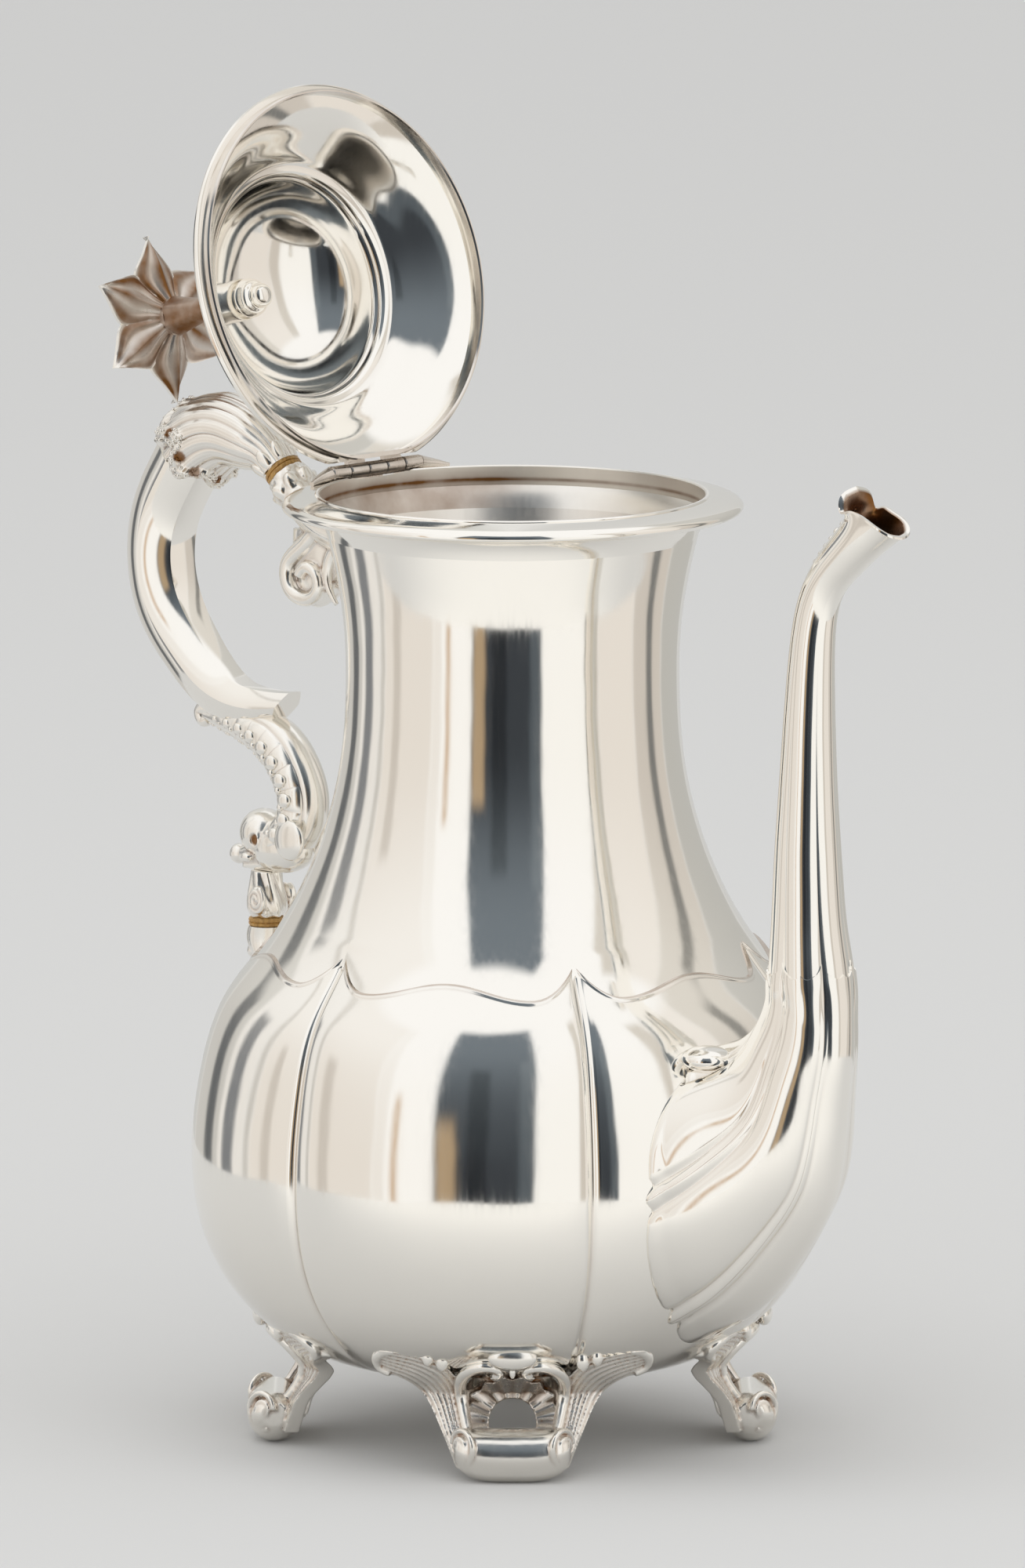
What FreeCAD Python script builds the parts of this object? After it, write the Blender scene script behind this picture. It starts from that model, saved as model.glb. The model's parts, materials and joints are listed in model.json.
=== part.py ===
"""Silver coffee pot on four feet, with a hinged lid that stands open.

Millimetres. The origin is on the pot's axis at table level, +Z is up and +X points along the spout.
The lid is shaped closed and then swung open, which is how the pot stands at rest.
"""
import FreeCAD
import Part
import math
import os
from FreeCAD import Vector

# Body: outline radii and heights, measured on the crown of a lobe.
BASE_R = 30.0
BASE_Z = 16.5
BELLY_R = 67.9
BELLY_Z = 61.6
WAIST_R = 51.0
WAIST_Z = 105.0
NECK_R = 35.3
NECK_Z = 160.0
TOP_R = 39.4
TOP_Z = 191.8
WALL = 1.0
LOBES = 6
GROOVE_DEPTH = 4.5
GROOVE_FADE = 5.5
WAIST_STEP = 0.5
WAIST_CUSP = 3.4
WAIST_SAG = 3.0

# Mouth and rim moulding.
MOUTH_STEP = 1.9
MOUTH_R = TOP_R + MOUTH_STEP
RIM_Z = 200.5
BAND_FLARE_Z = 3.7
RIM_REACH = 7.0
RIM_DEPTH = 4.2
RIM_STEP = 0.6

# Spout.
SPOUT_X = 87.3
JOINT_Z = 110.0
JOINT_R = 9.0
SPOUT_WALL = 0.9
SPOUT_NECK_R = 4.4
LIP_X = 106.7
LIP_Z = 206.5
LIP_LENGTH = 15.3
LIP_WIDTH = 10.2
FAN_WIDTH = 47.0
STRAINER_HOLE_R = 1.2
STRAINER_PITCH = 4.2
STRAINER_RINGS = 2
CREST_BEADS = 7
CREST_BEAD_R = 0.75

# Handle: the two heat breaks and how far the grip stands out from the line between them.
UPPER_BREAK_OUT = 26.8
UPPER_BREAK_X = -MOUTH_R - UPPER_BREAK_OUT
UPPER_BREAK_Z = 197.9
UPPER_BREAK_SLOPE = 41.0
UPPER_BREAK_R = 4.2
UPPER_BREAK_T = 2.3
LOWER_BREAK_X = -73.6
LOWER_BREAK_Z = 101.3
LOWER_BREAK_R = 3.9
LOWER_BREAK_T = 1.9
HANDLE_REACH = 37.0
GRIP_W = 7.2
GRIP_H = 6.6
SOCKET_DROP = 7.0
SOCKET_LIP = 0.4
PENDANT_T = 7.0
PENDANT_DROP = 20.0
SPIGOT_R = 2.4
SPIGOT_L = 5.0
SPIGOT_CLEAR = 0.05
BREAK_PIN_R = 0.6
TAIL_BUD_R = 2.6
HEAD_R = 6.2
SNOUT_R = 2.3
ELBOW_BALL_R = 1.7

# Feet.
FOOT_ANGLE = 45.0
TOE_RING_R = 50.0
TOE_R = 6.2
TOE_FLAT = 0.3
TOE_WIDTH = 24.0
LEG_T = 3.2
WING_WIDTH = 55.0
BOSS_WIDTH = 10.9
BOSS_R = 1.9
ARCH_R = 5.0
ARCH_Z = 11.7

# Lid, as it sits closed.
LID_CLEAR = 0.3
LID_MARGIN = 0.3
LID_R = MOUTH_R - LID_MARGIN
LID_FLANGE_T = 1.6
LID_WALL = 0.9
LID_STEP_R = 24.0
LID_STEP_H = 14.2
LID_TOP_H = 30.4
BEZEL_CLEAR = 0.7
BEZEL_WALL = 0.9
BEZEL_DEPTH = 2.0
STUD_R = 1.5
NUT_R = 3.5
STEM_R = 5.2
STEM_WAIST_R = 2.3
HUB_R = 4.0
HUB_T = 2.0
BUD_R = 2.6
BUD_H = 3.2
FINIAL_H = 51.4
PETALS = 6

# Hinge, and how far short of its line the petals stop so that the open flower clears the handle.
HINGE_INSET = 0.3
HINGE_X = HINGE_INSET - MOUTH_R
PETAL_MARGIN = 23.0
PETAL_R = -HINGE_X - PETAL_MARGIN
HINGE_LIFT = 1.0
KNUCKLE_R = 1.6
KNUCKLE_L = 5.3
KNUCKLE_GAP = 0.15
KNUCKLES = 5
PIN_R = 0.7
PIN_CLEAR = 0.05
TAB_REACH = 5.0
TAB_T = 1.1
CHORD_GAP = 0.5
CHORD_WALL = 1.2
OPEN_ANGLE = 105.0

SIDE = Vector(0, 1, 0)
UP = Vector(0, 0, 1)
ORIGIN = Vector(0, 0, 0)
HINGE_Z = RIM_Z + HINGE_LIFT
LOBE_SPAN = 2 * math.pi / LOBES


def mix(a, b, k):
    """The value a share k of the way from a to b."""
    return a + (b - a) * k


def polar(radius, angle, z):
    """Point at a radius and an angle in radians about the pot's axis."""
    return Vector(radius * math.cos(angle), radius * math.sin(angle), z)


def spline_edge(points):
    """Smooth edge through points."""
    curve = Part.BSplineCurve()
    curve.interpolate(points)
    return curve.toShape()


def smooth_loop(points):
    """Smooth closed wire through points."""
    curve = Part.BSplineCurve()
    curve.interpolate(points, PeriodicFlag=True)
    return Part.Wire([curve.toShape()])


def sealed(faces):
    """Solid enclosed by faces that share their edges."""
    shell = Part.makeShell(faces)
    shell.sewShape()
    solid = Part.makeSolid(shell)
    if solid.Volume < 0:
        solid.reverse()
    return solid


def turned(edges):
    """Solid of revolution about the pot's axis from a closed outline in the XZ plane."""
    solid = Part.Face(Part.Wire(edges)).revolve(ORIGIN, UP, 360)
    if solid.Volume < 0:
        solid.reverse()
    return solid


def turned_polygon(outline):
    """Solid of revolution from corner points (r, z)."""
    points = [Vector(r, 0, z) for r, z in outline]
    return turned(Part.makePolygon(points + points[:1]).Edges)


def rod(start, end, radius):
    """Round bar between two points."""
    way = end - start
    return Part.makeCylinder(radius, way.Length, start, way)


def fused(shapes):
    """One solid from several that run into each other."""
    return shapes[0].multiFuse(shapes[1:]).removeSplitter()


# Body outline

def station(low, high, share_r, share_z):
    """Outline point part of the way from one (r, z) station to the next."""
    return Vector(mix(low[0], high[0], share_r), 0, mix(low[1], high[1], share_z))


def body_outline():
    """Smooth outline of the pot from its flat bottom to the top of the neck."""
    base = (BASE_R, BASE_Z)
    belly = (BELLY_R, BELLY_Z)
    waist = (WAIST_R, WAIST_Z)
    neck = (NECK_R, NECK_Z)
    top = (TOP_R, TOP_Z)
    points = [
        station(base, belly, 0.0, 0.0),
        station(base, belly, 0.42, 0.11),
        station(base, belly, 0.72, 0.32),
        station(base, belly, 0.93, 0.62),
        station(belly, waist, 0.0, 0.0),
        station(belly, waist, 0.16, 0.41),
        station(belly, waist, 0.58, 0.77),
        station(waist, neck, 0.0, 0.0),
        station(waist, neck, 0.53, 0.29),
        station(waist, neck, 0.92, 0.69),
        station(neck, top, 0.0, 0.0),
        station(neck, top, 0.15, 0.47),
        station(neck, top, 1.0, 1.0),
    ]
    curve = Part.BSplineCurve()
    curve.interpolate(points)
    return curve


OUTLINE = body_outline()


def at_height(z):
    """Outline parameter at a height."""
    low = OUTLINE.FirstParameter
    high = OUTLINE.LastParameter
    for _ in range(50):
        middle = (low + high) / 2
        if OUTLINE.value(middle).z < z:
            low = middle
        else:
            high = middle
    return (low + high) / 2


def groove_depth(z):
    """Depth of the grooves between lobes, which fade out at the bottom and just above the waist."""
    share = (z - BASE_Z) / (WAIST_Z + GROOVE_FADE - BASE_Z)
    if share <= 0 or share >= 1:
        return 0.0
    return GROOVE_DEPTH * math.sin(math.pi * share) ** 0.8


def groove(angle):
    """0 on the crown of a lobe and 1 in the crease between two lobes."""
    return 1 - abs(math.cos(LOBES * angle / 2))


def body_point(parameter, angle, inset=0.0, level=False):
    """Point on the body, or inside it by an inset square to the outline (or level)."""
    place = OUTLINE.value(parameter)
    along = OUTLINE.tangent(parameter)[0]
    if level:
        along = UP
    radius = place.x - groove_depth(place.z) * groove(angle) - inset * along.z
    return polar(radius, angle, place.z + inset * along.x)


def body_radius(z, angle=0.0):
    """Radius of the body's outside at a height and an angle."""
    return OUTLINE.value(at_height(z)).x - groove_depth(z) * groove(angle)


def waist_height(angle):
    """Height of the brace-shaped waist line: a cusp at each crease and a low crest on each lobe."""
    share = abs((angle + LOBE_SPAN / 2) % LOBE_SPAN - LOBE_SPAN / 2) / (LOBE_SPAN / 2)
    trough = 0.65
    if share < trough:
        return WAIST_Z - WAIST_SAG * (1 - math.cos(math.pi * share / trough)) / 2
    rise = (share - trough) / (1 - trough)
    return WAIST_Z - WAIST_SAG + (WAIST_SAG + WAIST_CUSP) * rise ** 2


def lobed_loop(point, steps=12):
    """Closed wire with one smooth edge for each lobe; point gives the place at an angle."""
    edges = []
    for lobe in range(LOBES):
        start = (lobe - 0.5) * LOBE_SPAN
        edges.append(spline_edge([point(start + LOBE_SPAN * i / steps) for i in range(steps + 1)]))
    return Part.Wire(edges)


def body_rows(low, high, rows, inset, level_top=False):
    """Wires round the body from outline parameter low(angle) to high(angle)."""
    wires = []
    for row in range(rows + 1):
        share = row / rows
        level = level_top and row == rows

        def place(angle):
            parameter = mix(low(angle), high(angle), share)
            return body_point(parameter, angle, inset, level)

        wires.append(lobed_loop(place))
    return wires


def bottom_parameter(angle):
    return OUTLINE.FirstParameter


def top_parameter(angle):
    return OUTLINE.LastParameter


def waist_parameter(angle):
    return at_height(waist_height(angle))


def skin(wires):
    """Faces of a smooth surface through wires."""
    return Part.makeLoft(wires, False).Faces


def body_core():
    """The belly filled solid to just under the waist line, to seat what is soldered on it."""
    top = at_height(WAIST_Z - WAIST_SAG - WALL)

    def core_top(angle):
        return top

    return Part.makeLoft(body_rows(bottom_parameter, core_top, 14, 0.0), True)


def neck_core():
    """The neck filled solid above the waist line."""
    low = at_height(WAIST_Z + GROOVE_FADE)

    def core_low(angle):
        return low

    return Part.makeLoft(body_rows(core_low, top_parameter, 10, WAIST_STEP, True), True)


def strainer_holes():
    """Pattern of holes through the belly wall behind the spout."""
    centre_z = (fan_sections()[1][0].z + fan_sections()[1][1].z) / 2
    depth = 4 * GROOVE_DEPTH
    holes = []
    for ring in range(STRAINER_RINGS + 1):
        count = max(1, 6 * ring)
        for i in range(count):
            turn = 2 * math.pi * i / count
            y = STRAINER_PITCH * ring * math.cos(turn)
            z = centre_z + STRAINER_PITCH * ring * math.sin(turn)
            start = Vector(BELLY_R - depth, y, z)
            holes.append(Part.makeCylinder(STRAINER_HOLE_R, 2 * depth, start, Vector(1, 0, 0)))
    return Part.makeCompound(holes)


def make_lower_body():
    outer = body_rows(bottom_parameter, waist_parameter, 14, 0.0)
    inner = body_rows(bottom_parameter, waist_parameter, 14, WALL)
    faces = skin(outer) + skin(inner)
    faces += Part.makeRuledSurface(outer[-1], inner[-1]).Faces
    faces += [Part.Face(outer[0]), Part.Face(inner[0])]
    return sealed(faces).cut(strainer_holes())


def make_upper_body():
    outer = body_rows(waist_parameter, top_parameter, 10, WAIST_STEP, True)
    inner = body_rows(waist_parameter, top_parameter, 10, WAIST_STEP + WALL, True)
    faces = skin(outer) + skin(inner)
    faces += Part.makeRuledSurface(outer[0], inner[0]).Faces
    faces += Part.makeRuledSurface(outer[-1], inner[-1]).Faces
    return sealed(faces)


# Mouth

def band_outside():
    """Corner points up the outside of the mouth band, which the moulding is soldered round."""
    return [(TOP_R - WAIST_STEP, TOP_Z), (MOUTH_R, TOP_Z + BAND_FLARE_Z)]


def hinge_groove():
    """Trough in the mouth's edge that the knuckles turn in."""
    length = KNUCKLES * KNUCKLE_L
    start = Vector(HINGE_X, -length / 2, HINGE_Z)
    return Part.makeCylinder(KNUCKLE_R + LID_CLEAR, length, start, SIDE)


def make_mouth_band():
    outside = band_outside() + [(MOUTH_R, RIM_Z)]
    inside = [(r - WALL, z) for r, z in reversed(outside)]
    return turned_polygon(outside + inside).cut(hinge_groove())


def make_rim_moulding():
    """Thin drawn flange with a flat underside, a rounded nose and a top that falls away from the mouth."""
    low = Vector(MOUTH_R, 0, RIM_Z - RIM_DEPTH)
    top = Vector(MOUTH_R, 0, RIM_Z - RIM_STEP)
    reach = MOUTH_R + RIM_REACH
    outer = [
        low,
        Vector(mix(MOUTH_R, reach, 0.55), 0, mix(low.z, top.z, 0.04)),
        Vector(mix(MOUTH_R, reach, 0.88), 0, mix(low.z, top.z, 0.16)),
        Vector(reach, 0, mix(low.z, top.z, 0.42)),
        Vector(mix(MOUTH_R, reach, 0.88), 0, mix(low.z, top.z, 0.66)),
        Vector(mix(MOUTH_R, reach, 0.5), 0, mix(low.z, top.z, 0.77)),
        Vector(mix(MOUTH_R, reach, 0.2), 0, mix(low.z, top.z, 0.88)),
        top,
    ]
    return turned([Part.LineSegment(low, top).toShape(), spline_edge(outer)]).cut(hinge_groove())


# Spout

def fluted_loop(rear, front, half_width, inset, flute):
    """Six-lobed wire in the plane through two points of the XZ plane, half_width each way in Y."""
    centre = (rear + front) / 2
    along = (front - rear).normalize()
    length = (front - rear).Length / 2 - inset
    width = half_width - inset

    def place(angle):
        swell = 1 - flute * groove(angle)
        return centre + along * (length * swell * math.cos(angle)) + SIDE * (width * swell * math.sin(angle))

    return lobed_loop(place, 6)


def xz(x, z):
    return Vector(x, 0, z)


def fan_sections():
    """Rear point, front point, half width and flute depth, from inside the belly up to the joint."""
    half = FAN_WIDTH / 2
    rear_end = xz(SPOUT_X - JOINT_R, JOINT_Z)
    front_end = xz(SPOUT_X + JOINT_R, JOINT_Z)
    body_x = BELLY_R
    drop = JOINT_Z - BASE_Z
    return [
        (xz(body_x - 14, JOINT_Z - 0.235 * drop), xz(body_x - 18, BASE_Z + 0.1 * drop), half * 1.06, 0.07),
        (xz(body_x - 6, JOINT_Z - 0.20 * drop), xz(body_x - 2, BASE_Z + 0.21 * drop), half * 0.96, 0.09),
        (xz(mix(body_x, rear_end.x, 0.0), JOINT_Z - 0.18 * drop),
         xz(mix(body_x, front_end.x, 0.5), BASE_Z + 0.38 * drop), mix(half, JOINT_R, 0.44), 0.12),
        (xz(mix(body_x, rear_end.x, 0.35), JOINT_Z - 0.155 * drop),
         xz(mix(body_x, front_end.x, 0.81), BASE_Z + 0.52 * drop), mix(half, JOINT_R, 0.68), 0.12),
        (xz(mix(body_x, rear_end.x, 0.62), JOINT_Z - 0.12 * drop),
         xz(front_end.x - 0.3, BASE_Z + 0.70 * drop), mix(half, JOINT_R, 0.85), 0.11),
        (xz(mix(body_x, rear_end.x, 0.87), JOINT_Z - 0.07 * drop),
         xz(front_end.x + 1.2, BASE_Z + 0.84 * drop), mix(half, JOINT_R, 0.95), 0.10),
        (rear_end, front_end, JOINT_R, 0.09),
    ]


def make_spout_lower(core):
    outer = [fluted_loop(a, b, w, 0.0, f) for a, b, w, f in fan_sections()]
    inner = [fluted_loop(a, b, w, SPOUT_WALL, f) for a, b, w, f in fan_sections()]
    return Part.makeLoft(outer, True).cut(Part.makeLoft(inner, True)).cut(core)


def neck_sections():
    """Rear point, front point, half width and flute depth of the swan neck, from the joint to the lip."""
    rise = LIP_Z - JOINT_Z
    lip_dip = math.radians(31)
    lip_way = xz(math.cos(lip_dip), -math.sin(lip_dip)) * (LIP_LENGTH / 2)
    lip = xz(LIP_X, LIP_Z)
    stops = [
        (0.095, -0.03, 0.78, 0),
        (0.23, -0.05, 0.60, 0),
        (0.39, -0.05, 0.39, 0),
        (0.65, -0.01, 0.12, 6),
        (0.81, 0.13, 0.0, 20),
    ]
    sections = [(xz(SPOUT_X - JOINT_R, JOINT_Z), xz(SPOUT_X + JOINT_R, JOINT_Z), JOINT_R, 0.09)]
    for share_z, share_x, share_r, lean in stops:
        centre = xz(mix(SPOUT_X, LIP_X, share_x), JOINT_Z + rise * share_z)
        radius = mix(SPOUT_NECK_R, JOINT_R, share_r)
        across = xz(math.cos(math.radians(lean)), -math.sin(math.radians(lean))) * radius
        sections.append((centre - across, centre + across, radius, 0.05 * share_r))
    for share, lean, swell in ((0.42, 44, 1.1), (0.78, 42, 1.3)):
        base = stops[-1]
        start = xz(mix(SPOUT_X, LIP_X, base[1]), JOINT_Z + rise * base[0])
        centre = start + (lip - start) * share + xz(-1, 1) * (1.2 * (1 - share))
        radius = SPOUT_NECK_R * swell
        across = xz(math.cos(math.radians(lean)), -math.sin(math.radians(lean))) * radius
        sections.append((centre - across, centre + across, mix(SPOUT_NECK_R, LIP_WIDTH / 2, share), 0.0))
    sections.append((lip - lip_way, lip + lip_way, LIP_WIDTH / 2, 0.0))
    return sections


def make_spout_upper():
    outer = [fluted_loop(a, b, w, 0.0, f) for a, b, w, f in neck_sections()]
    inner = [fluted_loop(a, b, w, SPOUT_WALL, f) for a, b, w, f in neck_sections()]
    return Part.makeLoft(outer, True).cut(Part.makeLoft(inner, True))


def make_spout_crest(neck):
    """Row of beads on a strip down the back of the lip, seated on the neck."""
    rears = [section[0] for section in neck_sections()]
    curve = Part.BSplineCurve()
    curve.interpolate(rears)
    end = curve.LastParameter
    start = mix(curve.FirstParameter, end, 0.86)
    beads = []
    for i in range(CREST_BEADS):
        place = curve.value(mix(start, end, (i + 0.5) / CREST_BEADS))
        beads.append(Part.makeSphere(CREST_BEAD_R, place))
    stops = [curve.value(mix(start, end, i / 6)) for i in range(7)]
    for a, b in zip(stops, stops[1:]):
        beads.append(rod(a, b, CREST_BEAD_R * 0.7))
        beads.append(Part.makeSphere(CREST_BEAD_R * 0.7, b))
    filled = Part.makeLoft([fluted_loop(a, b, w, 0.0, f) for a, b, w, f in neck_sections()], True)
    return fused(beads).cut(filled).cut(neck)


# Handle

def handle_point(along, out):
    """Point of the handle: a share of the way up between the heat breaks, and a share of the reach."""
    x = mix(LOWER_BREAK_X, UPPER_BREAK_X, along) - HANDLE_REACH * out
    return xz(x, mix(LOWER_BREAK_Z, UPPER_BREAK_Z, along))


def path_normals(points):
    """Unit tangents of a smooth path through points, one at each point."""
    curve = Part.BSplineCurve()
    curve.interpolate(points)
    return [curve.tangent(curve.parameter(p))[0] for p in points]


def oval_loop(centre, tangent, half_side, half_deep):
    """Smooth oval square to a tangent in the XZ plane, half_side in Y and half_deep in the plane."""
    deep = SIDE.cross(tangent).normalize()
    points = []
    for i in range(12):
        turn = 2 * math.pi * i / 12
        points.append(centre + SIDE * (half_side * math.cos(turn)) + deep * (half_deep * math.sin(turn)))
    return smooth_loop(points)


def hexagon_loop(centre, tangent, half_side, half_deep):
    """Six-sided section with a ridge on each side and a flat inside and outside."""
    deep = SIDE.cross(tangent).normalize()
    corners = []
    for side, depth in ((1, 0), (0.5, 1), (-0.5, 1), (-1, 0), (-0.5, -1), (0.5, -1)):
        corners.append(centre + SIDE * (half_side * side) + deep * (half_deep * depth))
    return Part.makePolygon(corners + corners[:1])


UPPER_BREAK = xz(UPPER_BREAK_X, UPPER_BREAK_Z)
LOWER_BREAK = xz(LOWER_BREAK_X, LOWER_BREAK_Z)
UPPER_WAY = xz(-math.cos(math.radians(UPPER_BREAK_SLOPE)), math.sin(math.radians(UPPER_BREAK_SLOPE)))


def make_heat_break(centre, way, radius, thickness):
    """Bone disc with a spigot on each side."""
    disc = rod(centre - way * (thickness / 2), centre + way * (thickness / 2), radius)
    reach = thickness / 2 + SPIGOT_L
    spigots = rod(centre - way * reach, centre + way * reach, SPIGOT_R)
    solid = fused([disc, spigots])
    for pin in break_pin_axes(centre, way, radius, thickness):
        solid = solid.cut(rod(pin[0], pin[1], BREAK_PIN_R))
    return solid


def break_pin_axes(centre, way, radius, thickness):
    """Ends of the two cross pins that hold the spigots of a heat break."""
    axes = []
    for turn in (-1, 1):
        place = centre + way * (turn * (thickness / 2 + SPIGOT_L * 0.6))
        axes.append((place - SIDE * (radius - 0.4), place + SIDE * (radius - 0.4)))
    return axes


def make_break_pins(centre, way, radius, thickness):
    axes = break_pin_axes(centre, way, radius, thickness)
    return Part.makeCompound([rod(a, b, BREAK_PIN_R) for a, b in axes])


def socketed(solid, centre, way, radius, thickness):
    """Solid bored for the spigot and the pins of a heat break."""
    reach = thickness / 2 + SPIGOT_L + SPIGOT_CLEAR
    solid = solid.cut(rod(centre - way * reach, centre + way * reach, SPIGOT_R + SPIGOT_CLEAR))
    for a, b in break_pin_axes(centre, way, radius, thickness):
        solid = solid.cut(rod(a, b, BREAK_PIN_R))
    return solid


def upper_break_data():
    return UPPER_BREAK, UPPER_WAY, UPPER_BREAK_R, UPPER_BREAK_T


def lower_break_data():
    return LOWER_BREAK, UP, LOWER_BREAK_R, LOWER_BREAK_T


def make_upper_socket(seats):
    """Foliate arm from the neck under the rim to the upper heat break, with a pendant volute."""
    end = UPPER_BREAK - UPPER_WAY * (UPPER_BREAK_T / 2)
    root = xz(-TOP_R + 2, TOP_Z - SOCKET_DROP)
    middle = xz(mix(root.x, end.x, 0.55), mix(root.z, end.z, 0.32))
    path = [root, middle, end - UPPER_WAY * SPIGOT_L, end]
    ways = path_normals(path)
    ways[-1] = UPPER_WAY
    ways[-2] = UPPER_WAY
    lip = UPPER_BREAK_R + SOCKET_LIP
    sizes = [(8.0, SOCKET_DROP - 1.0), (6.0, 5.2), (5.0, 4.8), (lip, lip)]
    arm = Part.makeLoft([oval_loop(p, w, s, d) for p, w, (s, d) in zip(path, ways, sizes)], True)
    neck_x = -NECK_R + 1
    volute = xz(end.x + 5.0, end.z - PENDANT_DROP)
    scroll = spline_edge([xz(end.x + 2.0, root.z + 2), xz(end.x + 4.0, root.z - 4), xz(end.x + 1.4, volute.z),
                          xz(volute.x, volute.z - 5.2), xz(volute.x + 6, volute.z - 4.4),
                          xz(neck_x, volute.z - 3.0)])
    back = Part.makePolygon([xz(neck_x, volute.z - 3.0), xz(neck_x, root.z + 2), xz(end.x + 2.0, root.z + 2)])
    plate = Part.Face(Part.Wire([scroll] + back.Edges))
    plate.translate(SIDE * (-PENDANT_T / 2))
    solid = fused([arm, plate.extrude(SIDE * PENDANT_T)])
    for seat in seats:
        solid = solid.cut(seat)
    return socketed(solid, *upper_break_data())


CAP_SHAPE = ((1.055, 0.205, 6.6), (1.075, 0.45, 8.2), (1.048, 0.64, 9.0))
CAP_MOUTH = (1.002, 0.775, 8.8)
GRIP_SHAPE = ((0.97, 0.825, 1.0), (0.872, 0.955, 1.0), (0.768, 0.978, 1.0), (0.67, 0.895, 0.98),
              (0.58, 0.702, 0.9), (0.50, 0.44, 0.78), (0.474, 0.20, 0.62), (0.482, -0.09, 0.5))
TAIL_SHAPE = ((0.44, 0.565, 1.5), (0.433, 0.36, 3.2), (0.42, 0.13, 4.8), (0.385, -0.07, 5.8),
              (0.335, -0.19, 6.0), (0.28, -0.25, 6.0), (0.225, -0.22, 5.8), (0.185, -0.10, 5.6))
HEAD_SHAPE = (0.165, 0.03)
SNOUT_SHAPE = (0.125, 0.26)


def make_leaf_cap():
    """Shell-like horn that widens from the upper heat break to the top of the grip."""
    start = UPPER_BREAK + UPPER_WAY * (UPPER_BREAK_T / 2)
    path = [start, start + UPPER_WAY * SPIGOT_L]
    sizes = [UPPER_BREAK_R + 0.3, UPPER_BREAK_R + 1.2]
    for along, out, size in CAP_SHAPE + (CAP_MOUTH,):
        path.append(handle_point(along, out))
        sizes.append(size)
    ways = path_normals(path)
    ways[0] = UPPER_WAY
    ways[-1] = grip_start_way()
    loops = [oval_loop(p, w, s, s) for p, w, s in zip(path, ways, sizes)]
    return socketed(Part.makeLoft(loops, True), *upper_break_data())


def grip_path():
    return [handle_point(*CAP_MOUTH[:2])] + [handle_point(along, out) for along, out, _ in GRIP_SHAPE]


def grip_start_way():
    return path_normals(grip_path())[0]


def make_grip():
    """Faceted C-scroll from the mouth of the leaf cap to its free inner tip."""
    path = grip_path()
    sizes = [1.0] + [size for _, _, size in GRIP_SHAPE]
    loops = [hexagon_loop(p, w, GRIP_W * s, GRIP_H * s) for p, w, s in zip(path, path_normals(path), sizes)]
    return Part.makeLoft(loops, True)


def make_tail(grip):
    """Scaled tail that springs from under the grip and turns down into the head."""
    path = [handle_point(along, out) for along, out, _ in TAIL_SHAPE]
    sizes = [size for _, _, size in TAIL_SHAPE]
    loops = [oval_loop(p, w, s * 0.95, s) for p, w, s in zip(path, path_normals(path), sizes)]
    bud = Part.makeSphere(TAIL_BUD_R, path[0])
    return fused([Part.makeLoft(loops, True), bud]).cut(grip).cut(head_solid())


def head_solid():
    """Head with its snout, brow and jaw, filled."""
    centre = handle_point(*HEAD_SHAPE)
    snout = handle_point(*SNOUT_SHAPE)
    skull = Part.makeSphere(HEAD_R, centre)
    way = (snout - centre).normalize()
    stations = ((0.2, HEAD_R * 0.85), (0.6, HEAD_R * 0.6), (0.95, SNOUT_R * 0.85))
    muzzle = Part.makeLoft([oval_loop(mix(centre, snout, k), way, r, r) for k, r in stations], True)
    tip = Part.makeSphere(SNOUT_R, snout)
    return fused([skull, muzzle, tip])


def collar_top():
    """Height of the joint between the head and the spiral collar."""
    return handle_point(*HEAD_SHAPE).z - HEAD_R * 0.82


def make_head():
    """Dolphin head, cut flat below where the collar joins it."""
    below = Part.makeBox(60, 60, 60, Vector(LOWER_BREAK_X - 30, -30, collar_top() - 60))
    return head_solid().cut(below)


def make_collar():
    """Spiral collar between the head and the lower heat break."""
    low = LOWER_BREAK_Z + LOWER_BREAK_T / 2
    high = collar_top()
    loops = []
    for share, size in ((0, 1.0), (0.3, 1.18), (0.65, 1.02), (1, 0.85)):
        centre = xz(LOWER_BREAK_X, mix(low, high, share))
        loops.append(oval_loop(centre, UP, LOWER_BREAK_R * size, LOWER_BREAK_R * size))
    return socketed(Part.makeLoft(loops, True), *lower_break_data())


def make_lower_socket(core):
    """Bracket from the belly up to the lower heat break, with a small ball at its elbow."""
    top = LOWER_BREAK - UP * (LOWER_BREAK_T / 2)
    elbow = top - UP * (SPIGOT_L + 2)
    root = xz(-body_radius(elbow.z - 6) + 3, elbow.z - 6)
    path = [top, top - UP * SPIGOT_L, xz(mix(elbow.x, root.x, 0.35), elbow.z - 1.5), root]
    ways = [UP * -1, UP * -1, (root - elbow).normalize(), (root - elbow).normalize()]
    sizes = [LOWER_BREAK_R, LOWER_BREAK_R - 0.2, 3.6, 4.2]
    arm = Part.makeLoft([oval_loop(p, w, s, s) for p, w, s in zip(path, ways, sizes)], True)
    ball = Part.makeSphere(ELBOW_BALL_R, xz(elbow.x - LOWER_BREAK_R + 0.3, elbow.z + 1.2))
    return socketed(fused([arm, ball]).cut(core), *lower_break_data())


# Feet

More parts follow.
